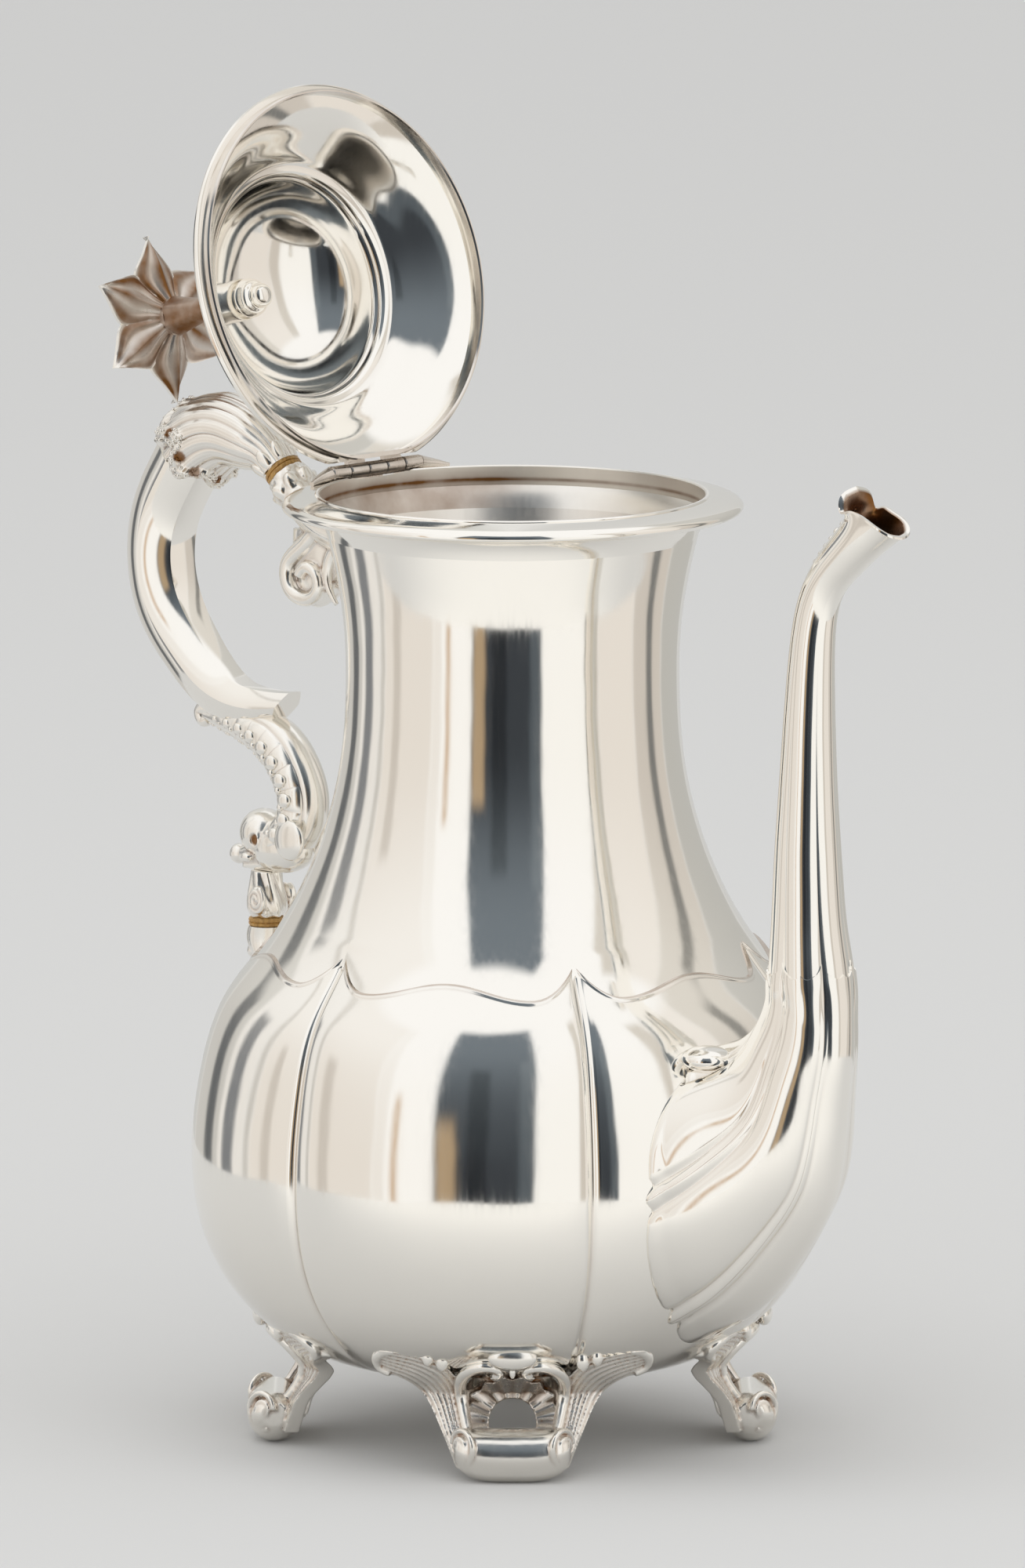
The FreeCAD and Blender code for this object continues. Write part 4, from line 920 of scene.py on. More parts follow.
# Middle of each heat break, x and z. Paths are shares along and out of the line between them, and a size.
LOWER_BREAK = np.array((-73.6, 101.3))
UPPER_BREAK = np.array((-68.1, 197.9))
GRIP_PATH = ((1.002, 0.775, 1.0), (0.97, 0.825, 1.0), (0.872, 0.955, 1.0), (0.768, 0.978, 1.0),
             (0.67, 0.895, 0.98), (0.58, 0.702, 0.9), (0.50, 0.44, 0.78), (0.474, 0.20, 0.62),
             (0.482, -0.09, 0.5))
CAP_PATH = ((1.055, 0.205, 6.6), (1.075, 0.45, 8.2), (1.048, 0.64, 9.0), (1.002, 0.775, 8.8))
TAIL_PATH = ((0.44, 0.565, 1.5), (0.433, 0.36, 3.2), (0.42, 0.13, 4.8), (0.385, -0.07, 5.8),
             (0.335, -0.19, 6.0), (0.28, -0.25, 6.0), (0.225, -0.22, 5.8), (0.185, -0.10, 5.6))
# How far the handle stands out from that line, and the half sizes of the grip's section.
HANDLE_OUT = 37.0
GRIP_WIDE, GRIP_DEEP = 7.2, 6.6
GRIP_ROWS, CAP_ROWS, TAIL_ROWS = 120, 150, 300
CAP_COLUMNS, TAIL_COLUMNS = 216, 144
# Heat breaks: direction of each disc's axis, its radius and its thickness; spigots stand out on both sides.
UPPER_WAY = np.array((-math.cos(math.radians(41.0)), 0.0, math.sin(math.radians(41.0))))
UPPER_THICK = 2.3
DISCS = {"upper": (UPPER_WAY, 4.2, UPPER_THICK), "lower": (np.array((0, 0, 1.0)), 3.9, 1.9)}
SPIGOT_R, SPIGOT_LONG = 2.4, 5
# Scales of the tail: length of one, and half the angle that a row of them takes up.
SCALE_LONG, SCALE_HALF = 4.2, 44.0


def handle_rows(shape):
    """Places (x, 0, z) and a size from shares along and out of the line between the heat breaks."""
    along, out, size = np.asarray(shape, float).T
    x = share_between(LOWER_BREAK[0], UPPER_BREAK[0], along) - HANDLE_OUT * out
    z = share_between(LOWER_BREAK[1], UPPER_BREAK[1], along)
    return np.stack([x, 0 * x, z, size], axis=1)


def hexagon():
    """Six-sided section with a ridge on each side and faintly crowned facets."""
    corners = np.array(((1, 0), (0.5, 1), (-0.5, 1), (-1, 0), (-0.5, -1), (0.5, -1)), float)
    points = []
    for here, after in zip(corners, np.roll(corners, -1, axis=0)):
        along = after - here
        out = np.array((along[1], -along[0]))
        for t in (0.0, 0.03, 0.09, 0.2, 0.35, 0.5, 0.65, 0.8, 0.91, 0.97):
            points.append(here + along * t + 0.2 * out * t * (1 - t))
    return np.array(points)


class POT_OT_grip(bpy.types.Operator):
    """Builds the faceted C-scroll grip"""
    bl_idname = "coffee_pot.grip"
    bl_label = "Grip"

    def execute(self, context):
        rows = spline(handle_rows(GRIP_PATH), GRIP_ROWS)
        path, size = rows[:, :3], rows[:, 3:]
        section = hexagon()
        rings = sweep(path, section[:, 0] * GRIP_WIDE * size, section[:, 1] * GRIP_DEEP * size)
        slant = smooth_step(0.84, 1.0, np.linspace(0, 1, GRIP_ROWS))[:, None]
        rings[..., 0] += 0.9 * slant * (rings[..., 2] - path[:, 2:])
        grip = mesh_of("handle_grip", [capped(rings)])
        add_piece("handle_grip_dressed", grip, material_for(POLISHED), sharp=25)
        return {"FINISHED"}


def break_centre(which):
    """Middle of a heat break."""
    x, z = UPPER_BREAK if which == "upper" else LOWER_BREAK
    return np.array((x, 0.0, z))


def bone_disc(centre, way, radius, thickness):
    """Rings of a bone disc with rounded edges, a turned line round its middle and a spigot on each side."""
    half = thickness / 2
    end = half + SPIGOT_LONG
    below = [(0.05, -end), (SPIGOT_R, -end), (SPIGOT_R, -half), (radius - 0.5, -half),
             (radius - 0.12, -half + 0.2), (radius, -half + 0.5), (radius, -0.18), (radius - 0.3, -0.05)]
    above = [(r, -z) for r, z in reversed(below)]
    grid = capped(lathe(below + above, 64))
    across = np.cross(SIDE, way)
    return centre + grid[..., :1] * across + grid[..., 1:2] * SIDE + grid[..., 2:] * way


class POT_OT_heat_breaks(bpy.types.Operator):
    """Builds the two bone heat breaks of the handle"""
    bl_idname = "coffee_pot.heat_breaks"
    bl_label = "Heat breaks"

    def execute(self, context):
        for which, sizes in DISCS.items():
            disc = mesh_of(which + "_insulator", [bone_disc(break_centre(which), *sizes)])
            add_piece(which + "_insulator_dressed", disc, material_for(BONE), sharp=35)
        return {"FINISHED"}


def petals_round(centre, way, ring, length, width, count, lean, start=0.0):
    """Small pointed leaves set round an axis, like bracts round a stem."""
    side = np.cross(way, SIDE)
    leaves = []
    for turn in around(count, start):
        out = math.cos(turn) * side + math.sin(turn) * SIDE
        along = way * math.cos(lean) + out * math.sin(lean)
        across = np.cross(out, way)
        thick = np.cross(along, across)
        leaves.append(ball(centre + out * ring + along * length * 0.3, (width, width * 0.55, length), 16,
                           np.stack([across, thick, along], axis=1)))
    return leaves


class POT_OT_leaf_cap(bpy.types.Operator):
    """Builds the fluted leaf cap at the head of the grip, with its ragged, grained mouth"""
    bl_idname = "coffee_pot.leaf_cap"
    bl_label = "Leaf cap"

    def execute(self, context):
        start = break_centre("upper") + UPPER_WAY * UPPER_THICK / 2
        stem = [np.append(start, 4.5), np.append(start + UPPER_WAY * 5, 5.4)]
        rows = spline(np.concatenate([stem, handle_rows(CAP_PATH)]), CAP_ROWS)
        path, size = rows[:, :3], rows[:, 3]
        turn = around(CAP_COLUMNS)
        share = np.linspace(0, 1, CAP_ROWS)[:, None]
        flutes = np.abs(np.sin(turn * 9 + 1.5 * np.sin(turn))) ** 0.7
        fine = np.abs(np.sin(turn * 36))
        body = size[:, None] * (0.93 + 0.07 * flutes * (0.4 + 0.6 * share)) + 0.08 * fine * share
        scallop = 0.5 + 0.5 * np.cos(turn * 5 + 0.6)
        edge = 0.86 + 0.14 * scallop
        curl = smooth_step(edge - 0.16, edge, share)
        body = body * (1 + 0.09 * np.sin(math.pi * np.clip(curl, 0, 1)))
        body = body * (1 - 0.22 * smooth_step(edge, edge + 0.05, share))
        rings = sweep(path, np.cos(turn) * body, np.sin(turn) * body)
        cast = material_for(CHASED)
        bracts = petals_round(start + UPPER_WAY, UPPER_WAY, 3.9, 2.6, 1.5, 7, 0.35)
        skin = mesh_of("handle_leaf_cap", [capped(rings)] + bracts)
        rng = np.random.default_rng(5)
        ragged = (share > edge - 0.13) & (share < edge - 0.005) & (rng.random(body.shape) < 0.06)
        skin = joined(skin, grains(rings[ragged], 0.5, cast, 0.6))
        pits = [rings[row, column] for row, column in ((123, 118), (125, 136), (123, 158), (121, 96))]
        points = points_of(skin)
        pitted = sum(smooth_step(1.7, 0.9, np.linalg.norm(points - pit, axis=1)) for pit in pits)
        add_piece("handle_leaf_cap_dressed", skin, cast, dark=(0.7, 1), extra=pitted)
        return {"FINISHED"}


class POT_OT_upper_socket(bpy.types.Operator):
    """Builds the leafy arm from the neck to the upper heat break, with its pendant scroll"""
    bl_idname = "coffee_pot.upper_socket"
    bl_label = "Upper socket"

    def execute(self, context):
        end = break_centre("upper") - UPPER_WAY * UPPER_THICK / 2
        rows = spline(((-36.0, 0, 185.5, 6.4), (-46.0, 0, 187.2, 5.6), (-56.0, 0, 189.4, 4.9),
                       (end[0] + 3.8, 0, end[2] - 3.3, 4.3), (end[0], 0, end[2], 4.4)), 60)
        turn = around(60)
        flutes = 1 + 0.05 * np.abs(np.sin(turn * 5))
        arm = capped(sweep(rows[:, :3], np.cos(turn) * rows[:, 3:] * flutes,
                           np.sin(turn) * rows[:, 3:] * flutes))
        grids = [arm] + petals_round(end - UPPER_WAY * 1.2, -UPPER_WAY, 3.8, 2.6, 1.5, 8, 0.3)
        grids += petals_round(end - UPPER_WAY * 4.6, UPPER_WAY, 3.9, 2.4, 1.6, 7, 0.5, 0.4)
        for side in (-1, 1):
            scroll = spline(((-55.5, 1.6 * side, 187.5), (-60.5, 2.0 * side, 182.8),
                             (-64.6, 2.2 * side, 178.6), (-64.0, 2.4 * side, 174.2),
                             (-59.6, 2.5 * side, 172.0), (-55.4, 2.6 * side, 174.0),
                             (-55.4, 2.9 * side, 177.6), (-58.4, 3.2 * side, 178.9),
                             (-60.4, 3.3 * side, 177.0)), 70)
            grids.append(tube(scroll, np.linspace(2.2, 1.3, 70), 14, 1.0, (0, 1, 0)))
            leaf = spline(((-46.0, 1.6 * side, 187.0), (-52.0, 2.0 * side, 181.5),
                           (-53.0, 2.2 * side, 176.5), (-50.5, 1.8 * side, 171.6)), 40)
            grids.append(tube(leaf, np.linspace(2.4, 0.6, 40), 12, 0.8, (0, 1, 0)))
        plate = spline(((-58.0, 0, 187.0, 7.0), (-57.6, 0, 181.0, 7.6), (-57.0, 0, 175.0, 6.4),
                        (-55.0, 0, 172.4, 3.0)), 40)
        grids.append(capped(sweep(plate[:, :3], np.cos(turn) * 2.6 + 0 * plate[:, 3:],
                                  np.sin(turn) * plate[:, 3:])))
        web = spline(((-36.2, 0, 172.0, 1.0), (-39.0, 0, 176.0, 3.0), (-46.0, 0, 180.0, 6.0),
                      (-56.0, 0, 183.0, 5.0)), 40)
        grids.append(capped(sweep(web[:, :3], np.cos(turn) * 2.0 + 0 * web[:, 3:],
                                  np.sin(turn) * web[:, 3:])))
        mesh = united("handle_upper_socket", grids, 0.3, 1)
        points = points_of(mesh)
        seat = np.where(points[:, 2] < TOP_Z, outline_radius(points[:, 2]) - 0.5, MOUTH_R) - 0.3
        points[:, :2] *= np.maximum(1.0, seat / np.maximum(reach_of(points), 1.0))[:, None]
        set_points(mesh, points)
        add_piece("handle_upper_socket_dressed", mesh, material_for(CHASED), dark=(0.9, 4), sharp=60)
        return {"FINISHED"}


class POT_OT_dolphin(bpy.types.Operator):
    """Builds the scaled tail, the dolphin head and the spiral collar below it"""
    bl_idname = "coffee_pot.dolphin"
    bl_label = "Dolphin"

    def execute(self, context):
        cast = material_for(CHASED)
        rows = spline(handle_rows(TAIL_PATH), TAIL_ROWS)
        path, size = rows[:, :3], rows[:, 3:]
        turn = around(TAIL_COLUMNS)
        length = lengths(path)[:, None]
        degrees = np.degrees(turn) % 360
        off_side = np.minimum(np.abs(degrees - 180), np.minimum(degrees, 360 - degrees))
        scaly = smooth_step(SCALE_HALF + 4, SCALE_HALF - 4, off_side)
        step = (length / SCALE_LONG) % 1.0
        rounded = np.sqrt(np.clip(1 - (off_side / SCALE_HALF) ** 2, 0, 1))
        scale = scaly * rounded * (0.15 + 0.85 * np.sin(math.pi * step) ** 0.5) * 0.05
        inside = smooth_step(222, 232, degrees) * smooth_step(318, 308, degrees)
        flutes = inside * (np.abs(np.sin(np.radians(degrees - 225) * 2.0)) ** 0.6) * 0.16
        grown = size * (0.9 + scale * smooth_step(3, 9, length) + flutes * smooth_step(2, 8, length))
        rings = sweep(path, np.cos(turn) * 0.95 * grown, np.sin(turn) * grown)
        bud = handle_rows(TAIL_PATH)[0, :3]
        tip = bud + spline(((4, 0, 0.2), (0.5, 0, 1.2), (-1.4, 0, 0.2), (-0.6, 0, -1.6), (1.0, 0, -1.2)),
                           30)
        bud = tube(tip, np.linspace(1.9, 1.3, 30), 14, 1.0, (0, 1, 0))
        tail = mesh_of("handle_tail", [capped(rings), bud])
        lumps = []
        for place in np.arange(5.0, length[-1, 0] - 2.0, 4.4):
            row = int(np.argmin(np.abs(length[:, 0] - place)))
            grow = size[row, 0] / 6.0
            after = min(row + 11, TAIL_ROWS - 1)
            for column in (0, TAIL_COLUMNS // 2):
                lumps.append(ball(rings[row, column], (1.9 * grow, 0.9 * grow, 1.7 * grow), 16))
                lumps.append(ball(rings[after, column - 6], (0.9 * grow, 0.8 * grow, 0.9 * grow), 12))
        tail = joined(tail, mesh_of("handle_tail_chain", lumps))
        rng = np.random.default_rng(3)
        spine = (degrees > 62) & (degrees < 122) & (length > 2) & (length < length[-1] - 4)
        grained = spine & (rng.random(rings.shape[:2]) < 0.035)
        tail = joined(tail, grains(rings[grained], 0.45, cast, 0.6))
        add_piece("handle_tail_dressed", tail, cast, dark=(0.6, 1))
        head = np.array((-73.9, 0.0, 118.4))
        snout = np.array((-82.0, 0.0, 114.2))
        grids = [ball(head + (-0.4, 0, 1.8), (5.4, 5.2, 5.2), 40),
                 ball(head + (5.2, 0, -0.6), (8.6, 5.0, 5.6), 40),
                 tube(np.linspace(head + (-1, 0, -2.0), snout, 20), np.linspace(2.9, 1.5, 20), 20),
                 ball(snout + (0.2, 0, 0.6), (2.2, 2.2, 2.2), 24),
                 tube(np.linspace(head + (4.0, 0, -4.2), snout + (2.0, 0, -1.6), 16),
                      np.linspace(2.4, 1.1, 16), 16)]
        for side in (-1, 1):
            grids.append(ball(head + (12.4, 5.2 * side, 2.1), (4.4, 1.4, 4.4), 32))
            grids.append(ball(head + (1.2, 4.2 * side, 0.9), (1.7, 1.1, 1.8), 20))
            grids.append(ball(head + (-2.6, 3.0 * side, -3.4), (1.6, 1.2, 1.0), 16))
        skull = united("dolphin_head", grids, 0.26, 2)
        points = points_of(skull)
        points[:, 2] = np.maximum(points[:, 2], node_box("dolphin_head")[0][2])
        for side in (-1, 1):
            eye = head + (1.2, 5.2 * side, 0.9)
            near = np.linalg.norm((points - eye) * (1, 1, 0.8), axis=1)
            points[:, 1] -= side * 0.7 * smooth_step(1.3, 0.7, near)
        set_points(skull, points)
        eyes = [head + (1.2, 5.0 * side, 0.9) for side in (-1, 1)]
        near = [np.linalg.norm((points - eye) * (1, 0.5, 0.85), axis=1) for eye in eyes]
        gaze = smooth_step(1.15, 0.7, near).sum(axis=0)
        add_piece("dolphin_head_dressed", skull, cast, dark=(0.8, 4), sharp=60, extra=gaze)
        low, high = node_box("lower_collar")[0][2], node_box("lower_collar")[1][2]
        centre = break_centre("lower")
        profile = spline(((3.6, low), (4.3, low + 1.2), (4.5, low + 3.2), (4.0, low + 6.0), (3.4, high)),
                         30)
        turn = around(72)
        twist = profile[:, 0][:, None] * (0.93 + 0.07 * np.cos(7 * turn + profile[:, 1][:, None] * 0.55))
        grid = np.stack([centre[0] + twist * np.cos(turn), twist * np.sin(turn),
                         profile[:, 1][:, None] + 0 * turn], axis=-1)
        grids = [capped(grid)]
        for side in (-1, 1):
            at = centre + (1.4, 4.1 * side, 5.0)
            spin = np.linspace(0, 4.4 * math.pi, 90)
            grow = np.linspace(0.5, 2.5, 90)
            rise = side * (0.9 - 0.45 * grow / 2.5)
            spiral = at + np.stack([grow * np.cos(spin) * 0.95, rise, grow * np.sin(spin) * 1.15], axis=-1)
            grids.append(tube(spiral, np.linspace(0.42, 0.5, 90), 10, 1.0, (0, 1, 0)))
            grids.append(ball(at, (2.5, 0.9, 3.0), 24))
        collar = united("lower_collar", grids, 0.24, 1)
        add_piece("lower_collar_dressed", collar, cast, dark=(0.9, 3), sharp=60)
        return {"FINISHED"}


# Feet

# Face of a foot: height, and distance from the pot's axis.
FOOT_FACE = np.array(((2.0, 47.5), (5.0, 46.6), (10.0, 45.2), (13.0, 44.0), (15.4, 43.4), (17.5, 43.6),
                      (19.0, 44.8), (20.5, 46.2), (22.0, 47.8), (24.0, 50.0), (26.0, 52.0), (28.0, 54.0),
                      (31.0, 56.6), (36.0, 60.6)))
FOOT_ANGLES = {"foot_spout_left": 45, "foot_handle_left": 135, "foot_handle_right": 225,
               "foot_spout_right": 315}
# Toe: its girth, half length and distance from the pot's axis.
TOE_R, TOE_HALF, TOE_OUT = 5.7, 12.0, 50.0
# Height of the middle of the pierced arch.
ARCH_Z = 11.2
SHELL_FLUTES = 11
STRIAE = 7


def on_foot(y, z, proud):
    """Place on a foot that faces +X: across, up and off its face; the upper part bends round the belly."""
    y, z, proud = np.broadcast_arrays(np.asarray(y, float), np.asarray(z, float), np.asarray(proud, float))
    r = np.interp(z, FOOT_FACE[:, 0], FOOT_FACE[:, 1]) + proud
    bend = smooth_step(9, 19, z)
    return np.stack([r - bend * (r - np.sqrt(np.maximum(r * r - y * y, 1.0))), y, z], axis=-1)


def foot_toe():
    """Rolled toe: a bulging barrel across the foot, rounded towards its ends and flat where it stands."""
    across = np.linspace(-1, 1, 61)
    bulge = 1 - 0.62 * np.abs(across) ** 3.4 - 0.16 * np.abs(across) ** 14
    girth = TOE_R * np.sqrt(np.clip(bulge, 0.0, 1.0))
    turn = around(64)
    r = TOE_OUT + np.outer(girth, np.cos(turn))
    z = np.maximum(5.6 + 1.3 * np.abs(across[:, None]) ** 3 + np.outer(girth, np.sin(turn)), 0.0)
    return capped(np.stack([r, np.repeat(TOE_HALF * across[:, None], 64, axis=1), z], axis=-1))


def foot_flank(side):
    """Striated leg edge that sweeps up and out into a broad leaf on the belly."""
    inner = spline(((8.6, 4.5), (9.6, 10.0), (10.5, 15.0), (11.2, 19.0), (12.6, 22.6), (16.0, 25.0),
                    (21.0, 26.4), (27.9, 27.0)), 110)
    outer = spline(((12.0, 3.0), (13.6, 7.0), (15.4, 11.2), (17.6, 15.4), (20.6, 18.8), (23.6, 20.6),
                    (26.4, 21.6), (28.0, 22.4)), 110)
    v = np.linspace(0, 1, 41)
    y = side * (inner[:, :1] + (outer - inner)[:, :1] * v)
    z = inner[:, 1:] + (outer - inner)[:, 1:] * v
    overhang = 1.7 * smooth_step(17, 25, np.abs(y)) * smooth_step(24.5, 19.5, z)
    ridge = np.sin(math.pi * np.clip(v, 0.03, 0.97)) ** 0.6 * smooth_step(28.5, 20.0, z)
    crown = 0.4 + ridge + overhang + 0.2 * np.cos(v * STRIAE * 2 * math.pi)
    return capped(np.concatenate([on_foot(y, z, crown), on_foot(y, z, crown - 3.0)[:, ::-1]], axis=1))


def foot_shell():
    """Ruffled shell round the arch, fluted from its ragged rim to the opening."""
    angle = np.radians(np.linspace(-32, 212, 220))[:, None]
    share = np.linspace(0, 1, 26)
    flute = np.cos(np.linspace(0, SHELL_FLUTES * 2 * math.pi, 220))[:, None]
    reach = 4.9 + (5.1 + 0.45 * flute) * share
    proud = -0.9 + 0.42 * flute * (0.4 + 0.6 * share) + 0.9 * share ** 2
    y, z = reach * np.cos(angle), ARCH_Z + reach * np.sin(angle)
    rings = np.concatenate([on_foot(y, z, proud), on_foot(y, z, np.full_like(proud, -2.9))[:, ::-1]],
                           axis=1)
    return capped(rings)


def foot_backing():
    """Plate behind the shell that closes the frame's corners."""
    angle = np.radians(np.linspace(-20, 200, 80))[:, None]
    share = np.linspace(0, 1, 8)
    reach = 5.2 + 6.6 * share
    y = np.clip(reach * np.cos(angle), -10.4, 10.4)
    z = np.minimum(ARCH_Z + reach * np.sin(angle) * 1.15, 25.0)
    return capped(np.concatenate([on_foot(y, z, -2.3), on_foot(y, z, -3.2)[:, ::-1]], axis=1))


def foot_scrolls(side):
    """Frame bar with its small volute, the two rolled leaf ends of the wing, and the toe's volute."""
    bar = spline(((8.8, 8.4, 2.9), (9.5, 11.0, 1.9), (10.4, 15.5, 1.5), (10.9, 18.8, 1.3),
                  (10.2, 21.9, 0.9), (7.8, 23.9, 0.8), (5.0, 24.3, 0.9), (3.2, 23.5, 1.2), (2.6, 22.4, 1.4),
                  (3.4, 21.6, 1.5), (4.2, 22.2, 1.5)), 90)
    size = np.interp(np.linspace(0, 1, 90), (0, 0.15, 0.5, 0.75, 0.9, 1),
                     (0.9, 1.25, 1.35, 1.25, 0.85, 0.75))
    grids = [tube(on_foot(side * bar[:, 0], bar[:, 1], bar[:, 2]), size, 14, 0.85)]
    grids.append(ball(on_foot(side * 3.3, 22.4, 1.6), (0.9, 1.1, 1.1), 16))
    for y, z, wide, tall in ((14.6, 25.2, 1.5, 2.3), (17.6, 26.0, 1.3, 2.0)):
        way = math.atan2(side * y, 48.0)
        turn = np.array(((math.cos(way), -math.sin(way), 0), (math.sin(way), math.cos(way), 0), (0, 0, 1)))
        grids.append(ball(on_foot(side * y, z, -0.2), (1.2, wide, tall), 20, turn))
    edge = spline(((24.6, 26.8, -0.4), (27.2, 26.2, -0.4), (28.2, 24.6, 0.1), (27.4, 22.4, 1.2),
                   (25.4, 21.4, 1.8)), 40)
    size = np.interp(np.linspace(0, 1, 40), (0, 0.4, 1), (0.8, 1.3, 0.8))
    grids.append(tube(on_foot(side * edge[:, 0], edge[:, 1], edge[:, 2]), size, 14))
    out = np.array((0.62, 0.78 * side, 0.0))
    flat = np.array((-0.78 * side, 0.62, 0.0))
    eye = np.array((52.2, 10.6 * side, 8.0))
    grids.append(tube(np.linspace(eye - out * 3.0, eye + out * 0.9, 8), 2.0, 32, 1.0, (0, 0, 1)))
    spin = np.linspace(-0.6 * math.pi, 1.0 * math.pi, 70)
    grow = np.linspace(4.4, 2.7, 70)
    spiral = eye + out * 0.1 + np.outer(-grow * np.cos(spin) * side, flat)
    spiral = spiral + np.outer(grow * np.sin(spin), (0, 0, 1))
    spiral[:, 2] = np.maximum(spiral[:, 2], 0.7)
    grids.append(tube(spiral, 0.65, 12, 1.0, tuple(out)))
    return grids


def foot_boss():
    """Oval boss with a lobed lower edge and a bud hanging under it."""
    grids = [ball(on_foot(0.0, 26.6, 0.2), (1.9, 5.2, 2.7), 36),
             ball(on_foot(0.0, 23.4, 1.2), (0.7, 0.75, 1.7), 16)]
    for y in (-3.9, -2.3, -0.8, 0.8, 2.3, 3.9):
        grids.append(ball(on_foot(y, 24.9 + 0.05 * y * y, 1.2), (0.8, 0.85, 0.8), 14))
    return grids


class POT_OT_feet(bpy.types.Operator):
    """Builds the four cast feet: rolled toe, pierced shell in a scroll frame, and wings on the belly"""
    bl_idname = "coffee_pot.feet"
    bl_label = "Feet"

    def execute(self, context):
        grids = [foot_toe(), foot_shell(), foot_backing()] + foot_boss()
        for side in (-1, 1):
            grids += [foot_flank(side)] + foot_scrolls(side)
        cast = united("foot", grids, 0.27, 1)
        blank = points_of(cast)
        # Painted shade deep inside the pierced arch, laid over the tarnish of the hollows.
        arch = smooth_step(10.8, 8.5, np.hypot(blank[:, 1], blank[:, 2] - 12.5))
        deep = smooth_step(48.5, 46.0, blank[:, 0]) * smooth_step(3, 6, blank[:, 2])
        tarnish(cast, 1.2, 3, 0.3 * arch * deep)
        for name, angle in FOOT_ANGLES.items():
            mesh = cast.copy()
            mesh.name = name
            points = spun(blank, angle)
            push = np.maximum(1.0, (wall_at(points) - 0.5) / np.maximum(reach_of(points), 1.0))
            points[:, :2] *= np.where(points[:, 2] > BASE_Z + 1.5, push, 1.0)[:, None]
            points[:, 2] = np.maximum(points[:, 2], 0.0)
            set_points(mesh, points)
            add_piece(name + "_dressed", mesh, material_for(CHASED), dark=None, sharp=60)
        return {"FINISHED"}


# Finial

PETALS = 6
PETAL_LONG, PETAL_THICK = 17.9, 0.7
PETAL_COLUMNS = 31
# Height of the flower's seat over the lid's.
FLOWER = 51.4


class POT_OT_finial(bpy.types.Operator):
    """Builds the flower finial: stem, six folded petals, bud, and the ball nut inside the lid"""
    bl_idname = "coffee_pot.finial"
    bl_label = "Finial"

    def execute(self, context):
        cast = material_for(CHASED)
        low, top = LID_Z + LID_TOP, LID_Z + FLOWER
        outline = spline(((5.2, low - 0.4), (3.9, low + 1.0), (2.9, low + 4.2), (2.3, low + 9.0),
                          (2.7, low + 13.5), (4.0, top)), 40)
        turn = around(60)
        waves = 0.07 * np.cos(6 * turn) * smooth_step(top - 8, top, outline[:, 1:])
        r = outline[:, :1] * (1 + waves)
        stem = np.stack([r * np.cos(turn), r * np.sin(turn), outline[:, 1:] + 0 * turn], axis=-1)
        browned = 0.9 * smooth_step(low + 2, low + 9, capped(stem)[..., 2])
        stem = mesh_of("finial_stem", [opened(capped(stem))], [browned])
        add_piece("finial_stem_dressed", stem, cast, "lid", dark=(0.5, 2))
        petals = [opened(capped(lathe(((1.5, top), (4.0, top), (4.0, top + 2.0), (1.5, top + 2.0)), 40)))]
        tarnish_and_shade = [0.5]
        reach = np.linspace(0.1, 1.0, 60)
        stops = np.array((0.1, 0.3, 0.52, 0.75, 1.0))
        width = spline_at(np.array(((1.7,), (3.4,), (5.7,), (3.6,), (0.15,))), stops, reach)
        lift = spline_at(np.array(((-0.3,), (1.4,), (2.6,), (3.2,), (4.6,))), stops, reach)
        v = np.linspace(-1, 1, PETAL_COLUMNS)
        fold = 0.34 * np.abs(v) ** 1.2 - 0.16 * np.exp(-(v / 0.16) ** 2)
        vein = 0.16 * np.cos(v * 14) * smooth_step(1.0, 0.5, reach)[:, None]
        # Brown tarnish on the petals, with painted shade: darker on the undersides and in the middle fold,
        # paler at the edges and the lit tips.
        both = np.abs(np.concatenate([v, v[::-1]]))
        side = np.repeat((0.95, 0.65), PETAL_COLUMNS)
        petal_tarnish_and_shade = side * smooth_step(0.0, 0.12, 1 - both) * (0.45 + 0.55 * np.cos(4.2 * both) ** 2)
        petal_tarnish_and_shade = np.concatenate([[0.5 * petal_tarnish_and_shade], smooth_step(1.0, 0.85, reach)[:, None] * petal_tarnish_and_shade, [0 * petal_tarnish_and_shade]])
        for i in range(PETALS):
            curl = 0.9 * np.sin(2.4 * i) * np.abs(v) + 0.9 * np.cos(3.1 * i) * v
            curl = curl * smooth_step(0.35, 0.8, reach)[:, None]
            rise = top + lift + fold * width + vein + curl
            under = np.stack([PETAL_LONG * reach[:, None] + 0 * v, width * v, rise], axis=-1)
            ring = np.concatenate([under, (under + (0, 0, PETAL_THICK))[:, ::-1]], axis=1)
            petals.append(opened(spun(capped(ring), 360 / PETALS * i)))
            tarnish_and_shade.append(petal_tarnish_and_shade)
        flower = mesh_of("finial_petals", petals, tarnish_and_shade)
        add_piece("finial_petals_dressed", flower, cast, "lid", dark=(0.4, 2), sharp=50)
        head = top + 2.0
        bud = ((1.4, head - 1), (2.5, head + 0.2), (2.6, head + 1.4), (1.7, head + 2.6), (0.3, head + 3.1))
        bud = capped(lathe(spline(bud, 24), 36))
        stud = capped(lathe(((1.45, low - 6.2), (1.45, head)), 24))
        add_piece("finial_stud_dressed", mesh_of("finial_stud", [opened(bud), opened(stud)]), cast, "lid")
        seat = LID_Z + LID_TOP - LID_WALL
        nut = spline(((3.6, seat), (4.2, seat - 0.8), (4.1, seat - 2.0), (3.3, seat - 3.2),
                      (2.5, seat - 3.7), (2.6, seat - 4.6), (2.3, seat - 5.6), (1.3, seat - 6.3),
                      (0.2, seat - 6.5)), 60)
        nut = mesh_of("finial_nut", [opened(capped(lathe(nut, 48)))])
        add_piece("finial_nut_dressed", nut, material_for(POLISHED), "lid")
        return {"FINISHED"}


